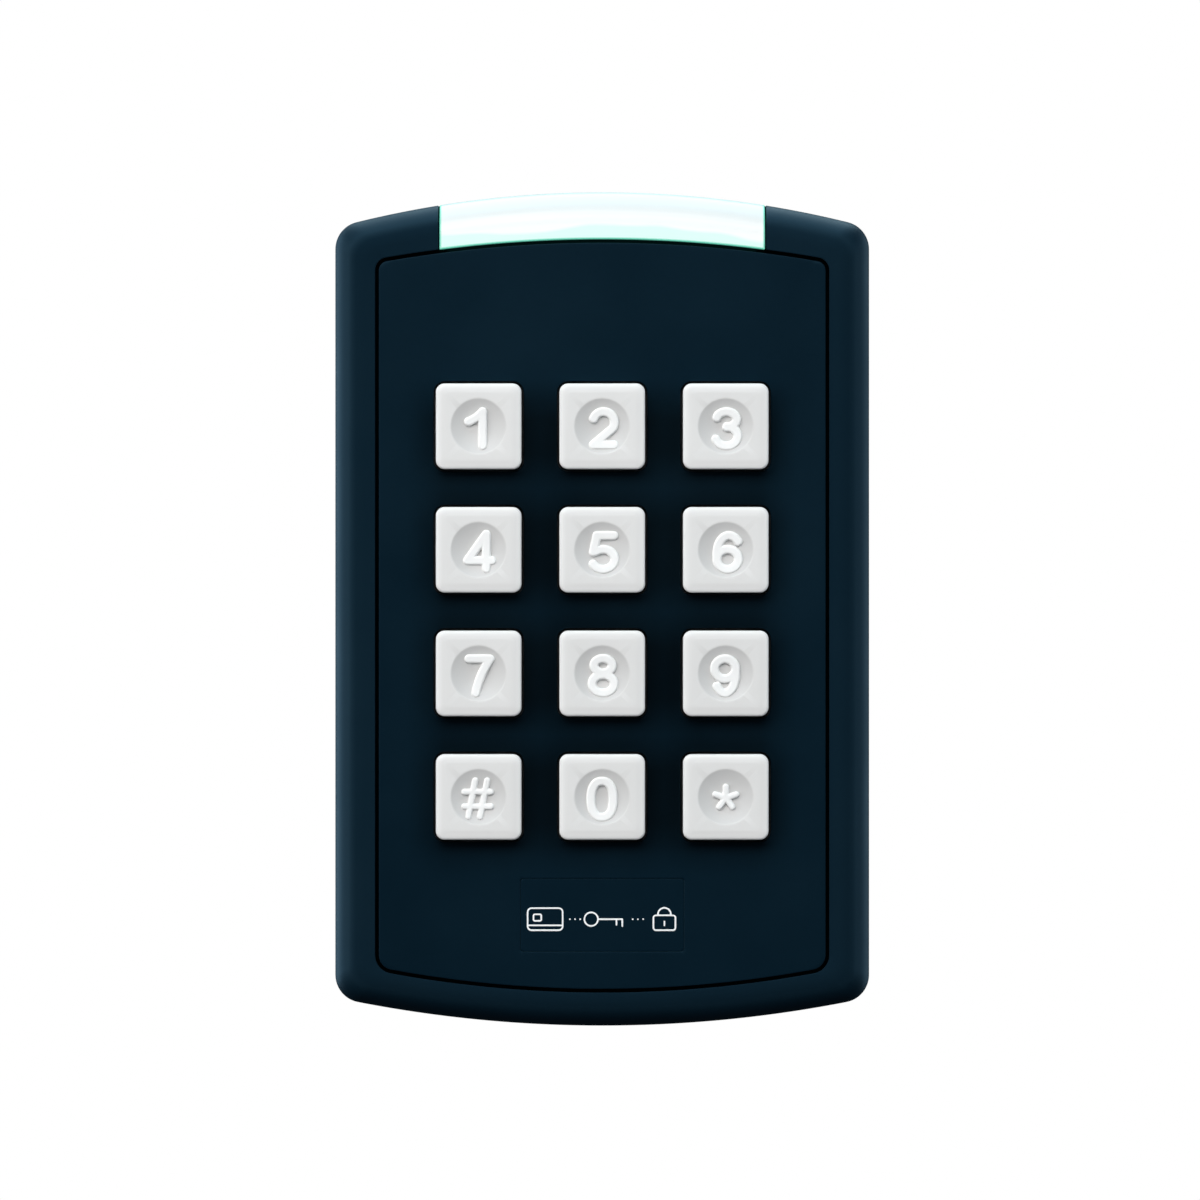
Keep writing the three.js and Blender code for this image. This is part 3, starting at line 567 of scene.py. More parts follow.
navyTint = (0.3, 0.7, 1.0)
plastics = {
    # name: colour, paler, worn, roughness, grain size, bump, wear, dust, gloss, tint of the shine
    "housingPlastic": ((0.0010, 0.0066, 0.0128), (0.0014, 0.0077, 0.0146), (0.006, 0.018, 0.030),
                       0.5, 0.4, 0.16, 0.15, 0.0, 0.27, navyTint),
    "panelPlastic": ((0.0010, 0.0064, 0.0124), (0.0013, 0.0075, 0.0142), (0.004, 0.015, 0.025),
                     0.42, 0.3, 0.14, 0.08, 0.0, 0.16, navyTint),
    "badgeFilm": ((0.0010, 0.0065, 0.0125), (0.0013, 0.0075, 0.0142), (0.004, 0.015, 0.025),
                  0.4, 0.2, 0.06, 0.05, 0.0, 0.16, navyTint),
    "keyPlastic": ((0.70, 0.686, 0.672), (0.72, 0.706, 0.692), (0.80, 0.80, 0.80), 0.5, 0.3, 0.1, 0.1, 0.0),
    "legendPlastic": ((0.865, 0.855, 0.84), (0.885, 0.875, 0.86), (0.91, 0.91, 0.91),
                      0.42, 0.3, 0.06, 0.05, 0.0),
    "badgePrint": ((0.85, 0.86, 0.86), (0.9, 0.9, 0.9), (0.8, 0.8, 0.8), 0.55, 0.15, 0.05, 0.1, 0.0),
    "basePlastic": ((0.012, 0.014, 0.017), (0.018, 0.02, 0.023), (0.05, 0.052, 0.055),
                    0.55, 0.45, 0.3, 0.5, 0.25),
    "sealRubber": ((0.012, 0.012, 0.013), (0.02, 0.02, 0.021), (0.04, 0.04, 0.04), 0.8, 0.5, 0.4, 0.3, 0.3),
    "siliconeSkin": ((0.36, 0.38, 0.39), (0.44, 0.46, 0.47), (0.5, 0.5, 0.5), 0.6, 0.5, 0.2, 0.1, 0.1),
    "componentBlack": ((0.01, 0.01, 0.011), (0.016, 0.016, 0.017), (0.03, 0.03, 0.03),
                       0.5, 0.15, 0.3, 0.3, 0.1),
    "terminalGreen": ((0.02, 0.16, 0.055), (0.03, 0.2, 0.07), (0.1, 0.3, 0.15), 0.4, 0.3, 0.15, 0.3, 0.1),
    "plungerAcetal": ((0.72, 0.72, 0.7), (0.78, 0.78, 0.76), (0.85, 0.85, 0.85), 0.35, 0.4, 0.1, 0.1, 0.1),
    "guideClear": ((0.8, 0.84, 0.84), (0.86, 0.88, 0.88), (0.9, 0.9, 0.9), 0.2, 0.6, 0.05, 0.05, 0.0),
    "ledResin": ((0.8, 0.78, 0.6), (0.85, 0.83, 0.66), (0.9, 0.9, 0.8), 0.25, 0.3, 0.05, 0.05, 0.0),
}
metals = {
    # name: colour, stained, roughness, mark size
    "screwSteel": ((0.5, 0.51, 0.52), (0.36, 0.36, 0.35), 0.32, 0.12),
    "springSteel": ((0.45, 0.46, 0.47), (0.33, 0.33, 0.33), 0.28, 0.08),
    "canAluminium": ((0.62, 0.63, 0.65), (0.5, 0.5, 0.5), 0.38, 0.12),
}
finishes = {name: mouldedPlastic(name, *look) for name, look in plastics.items()}
finishes |= {name: bareMetal(name, *look) for name, look in metals.items()}
finishes |= {name: strandedFinish(name, look) for name, look in
             (("boardLaminate", laminate), ("coilCopper", winding))}
finishes["lensPlastic"] = frostedLens("lensPlastic")
shadeHousing(finishes["housingPlastic"])
shadePanel(finishes["panelPlastic"])
shadeKeys(finishes["keyPlastic"])
print("materials made")


# Loops of points, as (across, up)

tiny = 1e-4  # the radius of a ring that closes to a point
leastCorner = 0.3
slotFlat = 0.001  # a slot's end keeps this much of a straight side, so that no two of its points meet


def archedLoop(edge, inset=0.0, corner=None, midHalf=None):
    # Straight sides and arched ends. The points over the middle keep their place across, whatever the inset.
    half = edge["half"] - inset
    midHalf = midHalf or lensBox["right"]

    def halfLoop(height, archRadius, cornerRadius):
        radius = archRadius - inset
        turn = max(cornerRadius - inset, leastCorner) if corner is None else corner
        centre = height - archRadius
        turnAcross = half - turn
        turnUp = centre + math.sqrt((radius - turn) ** 2 - turnAcross ** 2)
        lean = math.atan2(turnUp - centre, turnAcross)
        start = turnAcross + turn * math.cos(lean)
        across = [*np.linspace(start, midHalf, sideArchSteps + 1)[1:],
                  *np.linspace(midHalf, -midHalf, midArchSteps + 1)[1:],
                  *np.linspace(-midHalf, -start, sideArchSteps + 1)[1:-1]]
        angles = np.linspace(0, lean, cornerSteps + 1)
        right = [(turnAcross + turn * math.cos(a), turnUp + turn * math.sin(a)) for a in angles]
        left = [(-x, z) for x, z in reversed(right)]
        return right + [(x, centre + math.sqrt(radius ** 2 - x ** 2)) for x in across] + left

    upper = halfLoop(edge["top"], edge["topRadius"], edge["topCorner"])
    lower = halfLoop(-edge["bottom"], edge["bottomRadius"], edge["bottomCorner"])
    return upper + [(-x, -z) for x, z in lower]


def bend(centre, radii, start, end, steps=24):
    # part of an ellipse, anticlockwise when end is past start
    (x, z), (wide, high) = centre, radii
    return [(x + wide * math.cos(math.radians(a)), z + high * math.sin(math.radians(a)))
            for a in np.linspace(start, end, steps + 1)]


def roundedSquareLoop(size, corner, across=0.0, up=0.0, height=None, steps=6, sideSteps=1):
    # starts at the middle of the right side and runs anticlockwise
    halfWide, halfHigh = size / 2, (height or size) / 2
    quarters = []
    for quarter, (sx, sz) in enumerate(((1, 1), (-1, 1), (-1, -1), (1, -1))):
        cx, cz = sx * (halfWide - corner), sz * (halfHigh - corner)
        quarters.append(bend((cx, cz), (corner, corner), quarter * 90, quarter * 90 + 90, steps))
    loop = []
    for quarter, after in zip(quarters, quarters[1:] + quarters[:1]):
        (x0, z0), (x1, z1) = quarter[-1], after[0]
        shares = [k / sideSteps for k in range(1, sideSteps)]  # points along the straight side between them
        loop += quarter + [(x0 + (x1 - x0) * share, z0 + (z1 - z0) * share) for share in shares]
    return [(x + across, z + up) for x, z in loop]


def circleLoop(radius, across=0.0, up=0.0, count=48):
    turns = [2 * math.pi * i / count for i in range(count)]
    return [(across + radius * math.cos(turn), up + radius * math.sin(turn)) for turn in turns]


def slotLoop(length, width, across, up, upright):
    wide, high = (width, length) if upright else (length, width)
    return roundedSquareLoop(wide, width / 2 - slotFlat, across, up, high, steps=12)


def arcSteps(radius, steps, end=90.0):
    # (how far in, how far out) round a quarter, from the side towards the face
    return [(radius * (1 - math.cos(math.radians(a))), radius * math.sin(math.radians(a)))
            for a in np.linspace(0.0, end, steps + 1)]


def archedLoops(corners, midHalf):
    # (loop, out) pairs from (edge, inset, out)
    return [(archedLoop(edge, inset, None, midHalf), out) for edge, inset, out in corners]


# Meshes

def ringAt(loop, out):
    return [place(x, z, out) for x, z in loop]


def skinRings(rings, closed=False, skip=None):
    # quads between rings that have the same number of points
    count = len(rings[0])
    faces = []
    for r in range(len(rings) if closed else len(rings) - 1):
        after = (r + 1) % len(rings)
        for c in range(count):
            d = (c + 1) % count
            if not (skip and skip(r, c)):
                faces.append((r * count + c, r * count + d, after * count + d, after * count + c))
    return [point for ring in rings for point in ring], faces


def meshFrom(points, faces, caps=()):
    mesh = bmesh.new()
    corners = [mesh.verts.new(p) for p in points]
    for face in [*faces, *caps]:
        mesh.faces.new([corners[i] for i in face])
    bmesh.ops.remove_doubles(mesh, verts=mesh.verts, dist=1e-7)
    bmesh.ops.dissolve_degenerate(mesh, dist=1e-8, edges=mesh.edges)
    bmesh.ops.recalc_face_normals(mesh, faces=mesh.faces)
    return mesh


def loftMesh(rings):
    points, faces = skinRings(rings)
    count = len(rings[0])
    return meshFrom(points, faces, (range(count), range(len(points) - count, len(points))))


def turnedMesh(profile, across, up, closed=False, count=48):
    # a lathe along the wall's normal, from (radius, out) pairs
    rings = [ringAt(circleLoop(max(radius, tiny), across, up, count), out) for radius, out in profile]
    return meshFrom(*skinRings(rings, closed=True)) if closed else loftMesh(rings)


def plateMesh(outer, holes, back, front, frontRound=0.25, backRound=0.15, steps=3, margin=0.5):
    # The outer outline and each hole are functions of an inset into the plate's own material. A narrow flat
    # margin runs round every edge, so that worn edges stay at the edges.
    mesh = bmesh.new()
    levels = [(backRound + margin, back)]
    levels += [(i, back + backRound - o) for i, o in reversed(arcSteps(backRound, steps))]
    levels += [(i, front - frontRound + o) for i, o in arcSteps(frontRound, steps)]
    levels += [(frontRound + margin, front)]
    rims = {"back": [], "front": []}
    for loopAt in [outer, *holes]:
        rings = [[mesh.verts.new(p) for p in ringAt(loopAt(inset), out)] for inset, out in levels]
        follow = [(i, (i + 1) % len(rings[0])) for i in range(len(rings[0]))]
        for low, high in zip(rings, rings[1:]):
            for i, j in follow:
                mesh.faces.new((low[i], low[j], high[j], high[i]))
        for side, ring in (("back", rings[0]), ("front", rings[-1])):
            rims[side] += [mesh.edges.get((ring[i], ring[j])) for i, j in follow]
    for side, facing in (("back", 1), ("front", -1)):
        bmesh.ops.triangle_fill(mesh, use_beauty=True, edges=rims[side], normal=(0, facing, 0))
    bmesh.ops.recalc_face_normals(mesh, faces=mesh.faces)
    return mesh


def addBox(mesh, across, up, out, bevel=0.3):
    # a box with softened edges, joined into a mesh that is being built
    low, high = place(across[0], up[0], out[0]), place(across[1], up[1], out[1])
    middle, size = (low + high) / 2, high - low
    made = bmesh.ops.create_cube(mesh, size=1.0)["verts"]
    for corner in made:
        corner.co = Vector([corner.co[i] * abs(size[i]) + middle[i] for i in range(3)])
    edges = list({e for v in made for e in v.link_edges})
    bmesh.ops.bevel(mesh, geom=edges, offset=bevel * metresPerMm, segments=2, affect="EDGES", profile=0.5)


cornerWeight = 80  # large faces shade flat, and the fillets take the turn


def addObject(name, data):
    made = bpy.data.objects.new(name, data)
    scene.collection.objects.link(made)
    return made


def addMesh(name, mesh):
    data = bpy.data.meshes.new(name)
    mesh.to_mesh(data)
    mesh.free()
    return addObject(name, data)


def finishPiece(name, mesh, finish, replaces=(), body="reader_body", sharpAngle=38):
    # a piece with no body here is left without a parent
    piece = addMesh(name, mesh)
    data = piece.data
    data.materials.append(finishes[finish])
    data.shade_smooth()
    data.set_sharp_from_angle(angle=math.radians(sharpAngle))
    weighted = piece.modifiers.new("evenShading", "WEIGHTED_NORMAL")
    weighted.keep_sharp = True
    weighted.weight = cornerWeight
    if body:
        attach(piece, body)
    if replaces:
        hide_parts(*replaces)
    return piece


# Front housing

def notchFloor(midHalf):
    # where the light bar's seat runs under it, from the outside of the housing to the panel's pocket
    seatBack = lensBox["back"] - housing["lensGap"]
    seatFront = housing["depth"] - housing["edgeRound"] - housing["seatStep"]
    inner = housing["lensWall"] + housing["lensGap"]
    corners = [(bodyEdge, 0, seatBack), (bodyEdge, inner, seatBack), (bodyEdge, inner, seatFront),
               (windowEdge, housing["grooveEase"], panelBack)]
    return [ringAt(*pair) for pair in archedLoops(corners, midHalf)]


def faceLoops(midHalf, backOut):
    # the outside of the reader from backOut, over the edge round, to the brink of the panel's pocket
    start = housing["depth"] - housing["edgeRound"]
    loops = archedLoops([(bodyEdge, 0, backOut)], midHalf)
    for inset, out in arcSteps(housing["edgeRound"], housing["edgeSteps"]):
        share = inset / housing["edgeRound"]
        corner = housing["corner"] + (housing["faceCorner"] - housing["corner"]) * share
        loops.append((archedLoop(bodyEdge, inset, corner, midHalf), start + out))
    fillet = housing["rimFillet"]
    brink = [(windowEdge, housing["grooveEase"] - inset, housing["depth"] - fillet + out)
             for inset, out in arcSteps(fillet, 4)[::-1]]
    return loops + archedLoops(brink, midHalf)


def makeHousing():
    midHalf = lensBox["right"] + housing["lensGap"]
    backRound, wall, plateWall = housing["backRound"], housing["wall"], housing["plateWall"]
    ledgeBack = panelBack - window["ledgeThickness"]
    ledgeInset = window["groove"] + window["ledge"]
    rear = [(bodyEdge, plateWall, 0)]
    rear += [(bodyEdge, inset, backRound - out) for inset, out in arcSteps(backRound, 4)[::-1]]
    loops = archedLoops(rear, midHalf)
    notchStart = len(loops)
    loops += faceLoops(midHalf, lensBox["back"] - housing["lensGap"])
    notchEnd = len(loops)
    inside = [
        (windowEdge, housing["grooveEase"], panelBack), (windowEdge, ledgeInset, panelBack),
        (windowEdge, ledgeInset, ledgeBack), (bodyEdge, wall, ledgeBack),
        (bodyEdge, wall, housing["plateDepth"]), (bodyEdge, plateWall, housing["plateDepth"]),
    ]
    loops += archedLoops(inside, midHalf)
    rings = [ringAt(*pair) for pair in loops]
    midEnd = midStart + midArchSteps

    def inNotch(r, c):
        return notchStart <= r < notchEnd and midStart <= c < midEnd

    points, faces = skinRings(rings, closed=True, skip=inNotch)
    count = len(rings[0])
    floorRings = notchFloor(midHalf)
    offset = len(points)
    width = midArchSteps + 1
    points += [ring[c] for ring in floorRings for c in range(midStart, midEnd + 1)]
    for r in range(len(floorRings) - 1):
        for c in range(midArchSteps):
            a = offset + r * width + c
            faces.append((a, a + 1, a + width + 1, a + width))
    cheeks = []  # the notch's two end faces, bounded by the outside above and the floor below
    for column, floorColumn in ((midStart, 0), (midEnd, midArchSteps)):
        outside = [r * count + column for r in range(notchStart, notchEnd + 1)]
        cheeks.append(outside + [offset + r * width + floorColumn for r in (2, 1)])
    return meshFrom(points, faces, cheeks)


def cutRound(piece, radiusMm, up, out, depthMm, name):
    # bores a round pocket into a piece from below
    cutter, radius = bmesh.new(), radiusMm * metresPerMm
    bmesh.ops.create_cone(cutter, segments=48, radius1=radius, radius2=radius, cap_ends=True,
                          depth=2 * depthMm * metresPerMm, matrix=Matrix.Translation(place(0, up, out)))
    tool = addMesh(name, cutter)
    cut = piece.modifiers.new(name, "BOOLEAN")
    cut.object, cut.operation, cut.solver = tool, "DIFFERENCE", "EXACT"
    shading = piece.modifiers[0]
    piece.modifiers.move(piece.modifiers.find(cut.name), 0)
    bpy.context.view_layer.update()
    shading.show_viewport = False
    done = bpy.data.meshes.new_from_object(piece.evaluated_get(bpy.context.evaluated_depsgraph_get()))
    shading.show_viewport = True
    piece.modifiers.remove(cut)
    piece.data = done
    bpy.data.objects.remove(tool)


securityScrew = {  # the housing's pocket for its head follows it
    "head": 2.7, "headHeight": 1.2, "edgeRound": 0.7, "play": 0.3, "pocketDepth": 1.5, "recess": 1.25,
    "recessDepth": 0.8, "recessTaper": 0.98, "recessEase": 0.08, "recessBrim": 1.25, "lobes": 6,
    "lobeRise": 0.13, "pin": 0.35, "pinSunk": 0.15, "shank": 1.3, "length": 8.0, "threads": 14,
    "threadDepth": 0.12, "plainNeck": 0.4, "point": 0.4,
}
screwBox = boxMm("security_screw")
screwOut = (screwBox["front"] + screwBox["back"]) / 2

housingPiece = finishPiece("housingShell", makeHousing(), "housingPlastic",
                           ["front_housing"], sharpAngle=32)
cutRound(housingPiece, securityScrew["head"] + securityScrew["play"], bodyEdge["bottom"], screwOut,
         securityScrew["pocketDepth"], "screwPocket")
print("housing made")


# Light bar

def makeLens():
    half, inner, turn = lensBox["right"], housing["lensWall"], housing["lensTurn"]
    behind = housing["depth"] - inner
    inside = [(windowEdge, housing["grooveEase"], behind),
              (bodyEdge, housing["edgeRound"] + housing["lensShelf"], behind)]
    inside += [(bodyEdge, inner + inset, behind - turn + out) for inset, out in arcSteps(turn, 5)[::-1]]
    inside.append((bodyEdge, inner, lensBox["back"]))
    width = midArchSteps + 1
    rings = [ringAt(*pair)[midStart:midStart + width]
             for pair in faceLoops(half, lensBox["back"]) + archedLoops(inside, half)]
    points, faces = skinRings(rings, closed=True, skip=lambda r, c: c == midArchSteps)
    ends = [range(c, len(points), width) for c in (0, midArchSteps)]
    return meshFrom(points, faces, ends)


lensPiece = finishPiece("lightBarLens", makeLens(), "lensPlastic", ["light_lens"])
soften = lensPiece.modifiers.new("softEnds", "BEVEL")
soften.width, soften.segments, soften.limit_method = housing["lensRound"] * metresPerMm, 3, "ANGLE"
soften.angle_limit = math.radians(50)
lensPiece.modifiers.move(1, 0)
print("light bar made")


# Face panel and badge

badgeBox = boxMm("badge_plate")
badge = {
    "width": badgeBox["right"] - badgeBox["left"], "height": badgeBox["top"] - badgeBox["bottom"],
    "up": middleOf(badgeBox)[1], "gap": 0.03, "corner": 0.5, "leastCorner": 0.1, "thickness": 0.4,
    "sunk": 0.02,
}
badgeFront = panelBox["front"] - badge["sunk"]


def badgeLoop(inset, corner):
    return roundedSquareLoop(badge["width"] - 2 * inset, corner, 0, badge["up"], badge["height"] - 2 * inset)


def makePanel():
    gap = keyStyle["holeGap"]
    size, corner = keyStyle["size"] + 2 * gap, keyStyle["corner"] + gap
    holes = [lambda inset, centre=centre: roundedSquareLoop(size + 2 * inset, corner + inset, *centre)
             for centre in keyCentres.values()]
    holes.append(lambda inset: badgeLoop(-badge["gap"] - inset, badge["corner"] + inset))
    edge = window["groove"] - housing["grooveEase"]
    return plateMesh(lambda inset: archedLoop(windowEdge, edge + inset), holes, panelBack, panelBox["front"],
                     frontRound=0.12)


finishPiece("facePanel", makePanel(), "panelPlastic", ["face_panel"])
badgePlate = plateMesh(lambda inset: badgeLoop(inset, max(badge["corner"] - inset, badge["leastCorner"])), [],
                       panelBox["front"] - badge["thickness"], badgeFront, frontRound=0.06, backRound=0.05,
                       margin=0.3)
finishPiece("badgePlate", badgePlate, "badgeFilm", ["badge_plate"])
print("face panel made")


# Raised strokes, for the legends and the badge

def sweepCurve(start, pull, end, steps=16):
    # a quadratic curve drawn towards the pull point
    return [tuple((1 - t) ** 2 * s + 2 * t * (1 - t) * p + t ** 2 * e for s, p, e in zip(start, pull, end))
            for t in np.linspace(0, 1, steps + 1)]


def nearestOnStrokes(across, up, strokes):
    # for each grid point, the nearest point on any stroke's middle line, and how far away it is
    best = np.full(across.shape, 1e9)
    nearAcross, nearUp = np.zeros_like(across), np.zeros_like(up)
    for stroke in strokes:
        for (x0, z0), (x1, z1) in zip(stroke, stroke[1:]):
            dx, dz = x1 - x0, z1 - z0
            along = np.clip(((across - x0) * dx + (up - z0) * dz) / max(dx * dx + dz * dz, 1e-12), 0, 1)
            qx, qz = x0 + along * dx, z0 + along * dz
            gap = np.hypot(across - qx, up - qz)
            closer = gap < best
            best = np.where(closer, gap, best)
            nearAcross, nearUp = np.where(closer, qx, nearAcross), np.where(closer, qz, nearUp)
    return best, nearAcross, nearUp


brinkShare = 0.35  # of a grid cell, which keeps the edge's faces from getting too thin


def strokeMesh(strokes, halfWidth, cell, shoulder, topAt, bottomAt, across=0.0, up=0.0):
    # A closed slab with rounded shoulders. topAt and bottomAt give its heights at a place on its carrier.
    border = halfWidth + 2 * cell
    columns, rows = (np.arange(min(ends) - border, max(ends) + border, cell)
                     for ends in zip(*(point for stroke in strokes for point in stroke)))
    gridX, gridZ = np.meshgrid(columns, rows)
    gap, nearX, nearZ = nearestOnStrokes(gridX, gridZ, strokes)
    brink = gap > halfWidth - brinkShare * cell  # these are moved onto the stroke's edge
    pull = np.where(brink, halfWidth / np.maximum(gap, 1e-9), 1.0)
    gridX, gridZ = nearX + (gridX - nearX) * pull, nearZ + (gridZ - nearZ) * pull
    gap = np.where(brink, halfWidth, gap)
    mesh = bmesh.new()
    tops, bottoms = {}, {}

    def corner(r, c):
        if (r, c) not in tops:
            x, z = float(gridX[r, c]), float(gridZ[r, c])
            rise = min((halfWidth - float(gap[r, c])) / shoulder, 1.0)
            drop = shoulder * (1 - math.sqrt(max(1 - (1 - rise) ** 2, 0.0)))
            tops[r, c] = mesh.verts.new(place(x + across, z + up, topAt(x, z) - drop))
            bottoms[r, c] = mesh.verts.new(place(x + across, z + up, bottomAt(x, z)))
        return r, c

    for r in range(len(rows) - 1):
        for c in range(len(columns) - 1):
            cellCorners = [(r, c), (r, c + 1), (r + 1, c + 1), (r + 1, c)]
            if all(brink[at] for at in cellCorners):
                continue
            keys = [corner(*at) for at in cellCorners]
            mesh.faces.new([tops[k] for k in keys])
            mesh.faces.new([bottoms[k] for k in reversed(keys)])
    mesh.verts.index_update()
    paired = {tops[k].index: bottoms[k] for k in tops}
    for edge in [e for e in mesh.edges if e.is_boundary and all(v.index in paired for v in e.verts)]:
        a, b = edge.verts
        mesh.faces.new((a, b, paired[b.index], paired[a.index]))
    bmesh.ops.recalc_face_normals(mesh, faces=mesh.faces)
    return mesh


# Keys

legendStyle = {"halfStroke": 0.71, "thinHalfStroke": 0.5, "shoulder": 0.33, "cell": 0.13, "relief": 0.3,
               "sunk": 0.25}
zeroStyle = {"across": -0.04, "up": -0.35, "halfWidth": 1.70, "halfHeight": 2.78, "power": 2.4}


def zeroStroke(style, steps=48):
    # an oval with slightly squared shoulders
    loop = []
    for a in np.linspace(0, 2 * math.pi, steps + 1):
        c, s = math.cos(a), math.sin(a)
        loop.append((style["across"] + style["halfWidth"] * math.copysign(abs(c) ** (2 / style["power"]), c),
                     style["up"] + style["halfHeight"] * math.copysign(abs(s) ** (2 / style["power"]), s)))
    return loop


starUp, starArm = -0.15, 1.7
legendStrokes = {
    "key_1": [sweepCurve((-1.57, 0.70), (-0.2, 1.25), (0.6, 2.24)), [(0.6, 2.24), (0.6, -3.01)]],
    "key_2": [bend((0.21, 0.58), (1.66, 1.66), 160, -35) + [(-1.41, -2.9)], [(-1.41, -2.9), (1.84, -2.9)]],
    "key_3": [bend((0.10, 1.04), (1.55, 1.2), 166, -88), bend((0.10, -1.55), (1.74, 1.5), 88, -163)],
    "key_4": [[(1.18, -2.94), (1.18, 2.4), (-1.72, -1.64), (2.03, -1.66)]],
    "key_5": [[(1.84, 2.2), (-0.83, 2.2), (-1.36, -0.36)] + bend((0.14, -1.47), (1.78, 1.55), 124, -152)],
    "key_6": [bend((0.5, -0.6), (1.87, 2.8), 42, 190), bend((0.29, -1.47), (1.66, 1.55), 0, 360, 40)],
    "key_7": [[(-1.53, 2.24), (1.8, 2.24)], sweepCurve((1.8, 2.24), (0.14, -0.14), (-0.44, -3.05))],
    "key_8": [bend((0.12, 1.2), (1.4, 1.1), 0, 360, 40), bend((0.12, -1.62), (1.7, 1.4), 0, 360, 40)],
    "key_9": [bend((-0.12, -0.2), (1.62, 2.85), 10, -142), bend((-0.12, 0.7), (1.62, 1.55), 0, 360, 40)],
    "key_0": [zeroStroke(zeroStyle)],
    "key_hash": [[(-0.52, 2.55), (-1.6, -3.09)], [(1.33, 2.55), (0.21, -3.09)], [(-2.18, 0.77), (1.87, 0.77)],
                 [(-2.18, -1.47), (1.87, -1.47)]],
    "key_star": [[(0.0, starUp), tip] for tip in bend((0.0, starUp), (starArm, starArm), 90, 378, 4)],
}


def dishDrop(x, z):
    # how far the dish lies under the key's top, nothing outside it
    return keyStyle["dishDepth"] * max(1 - (x * x + z * z) / keyStyle["dishRadius"] ** 2, 0.0)


def makeKeycap(across, up):
    style, top, back = keyStyle, keyBox["front"], keyBox["back"]
    size, flange = style["size"], style["size"] + 2 * style["flange"]
    flangeFront = panelBack - style["flangeGap"]
    flangeBack = flangeFront - style["flangeThickness"]
    ceiling = top - style["dishDepth"] - style["wall"]

    def square(width, corner):
        return roundedSquareLoop(width, corner, across, up, steps=8, sideSteps=6)

    def circle(radius):
        # its points lie at the same angles as the square's, so that the skin between them doesn't twist
        outer = roundedSquareLoop(size, style["corner"], steps=8, sideSteps=6)
        return [(across + radius * x / math.hypot(x, z), up + radius * z / math.hypot(x, z))
                for x, z in outer]

    post, hollow = circle(style["postRadius"]), square(size - 2 * style["wall"], style["hollowCorner"])
    skirt = square(flange, style["corner"])
    loops = [(circle(tiny), back), (post, back), (post, ceiling), (hollow, ceiling), (hollow, flangeBack),
             (skirt, flangeBack), (skirt, flangeFront), (square(size, style["corner"]), flangeFront)]
    brink, edge = top - style["bevelOut"], style["edgeRound"]
    ease, toe, shares = style["cornerEase"], style["bevelToe"], style["bevelShares"]
    for inset, out in arcSteps(edge, 6, style["edgeTurn"]):
        loops.append((square(size - 2 * inset, style["corner"] - ease * inset), brink - edge + out))
    for share in shares:  # a shallow bevel that eases into the flat
        inset = style["bevelIn"] * share
        drop = style["bevelOut"] * (max(1 - share, 0) * (1 - toe) + toe * (shares[-1] - share) / shares[-1])
        corner = max(style["corner"] - ease * inset, style["leastCorner"])
        loops.append((square(size - 2 * inset, corner), top - drop))
    for share in style["lipShares"]:
        lip = circle(style["dishRadius"] + style["dishLip"] * share)
        loops.append((lip, top - style["lipDrop"] * (1 - share)))
    for share in style["dishShares"]:
        radius = style["dishRadius"] * share
        loops.append((circle(radius), top - dishDrop(radius, 0)))
    loops.append((circle(tiny), top - style["dishDepth"]))
    return loftMesh([ringAt(*pair) for pair in loops])


def makeLegend(name):
    top, thin = keyBox["front"], name in ("key_hash", "key_star")
    return strokeMesh(
        legendStrokes[name], legendStyle["thinHalfStroke" if thin else "halfStroke"], legendStyle["cell"],
        legendStyle["shoulder"], lambda x, z: top - legendStyle["relief"] * dishDrop(x, z),
        lambda x, z: top - dishDrop(x, z) - legendStyle["sunk"], *keyCentres[name])


for keyName, keyCentre in keyCentres.items():
    sign = keyName[4:].capitalize()
    finishPiece("keycap" + sign, makeKeycap(*keyCentre), "keyPlastic", [keyName], body=keyName,
                sharpAngle=40)
    finishPiece("legend" + sign, makeLegend(keyName), "legendPlastic", body=keyName,
                sharpAngle=55)
print("keys made")


# Badge pictogram: a card, dots, a key, dots and a padlock

pictogram = {"halfStroke": 0.125, "cell": 0.07, "thickness": 0.05, "height": 3.4, "shoulder": 0.02,
             "sunk": 0.03, "across": 0.2, "down": 0.65}


def pictogramStrokes():
    high = pictogram["height"]
    card = roundedSquareLoop(5.4, 0.6, -9.0, 0, high, steps=4)
    chip = roundedSquareLoop(1.2, 0.2, -10.2, 0.25, 1.0, steps=3)
    keyRing = circleLoop(1.05, -1.9, 0, 24)
    keyShaft = [[(-0.85, 0), (2.9, 0)], [(2.0, 0), (2.0, -0.85)], [(2.9, 0), (2.9, -1.05)]]
    lockBody = roundedSquareLoop(3.4, 0.4, 9.4, -0.55, high - 1.1, steps=4)
    shackle = [(8.4, 0.6)] + bend((9.4, 0.75), (1.0, 1.0), 180, 0, 16) + [(10.4, 0.6)]
    closed = [loop + loop[:1] for loop in (card, chip, keyRing, lockBody)]
    dots = [[(x, 0), (x + 0.02, 0)] for x in (-5.2, -4.4, -3.6, 4.5, 5.3, 6.1)]
    stripe = [[(-11.7, -0.95), (-6.3, -0.95)]]
    return closed + keyShaft + [shackle, [(9.4, -0.35), (9.4, -0.95)]] + dots + stripe


printed = strokeMesh(pictogramStrokes(), pictogram["halfStroke"], pictogram["cell"], pictogram["shoulder"],
                     lambda x, z: badgeFront + pictogram["thickness"] / 2,
                     lambda x, z: badgeFront - pictogram["sunk"],
                     pictogram["across"], badge["up"] - pictogram["down"])
finishPiece("badgePictogram", printed, "badgePrint")
print("badge made")


# Silicone mat under the keys

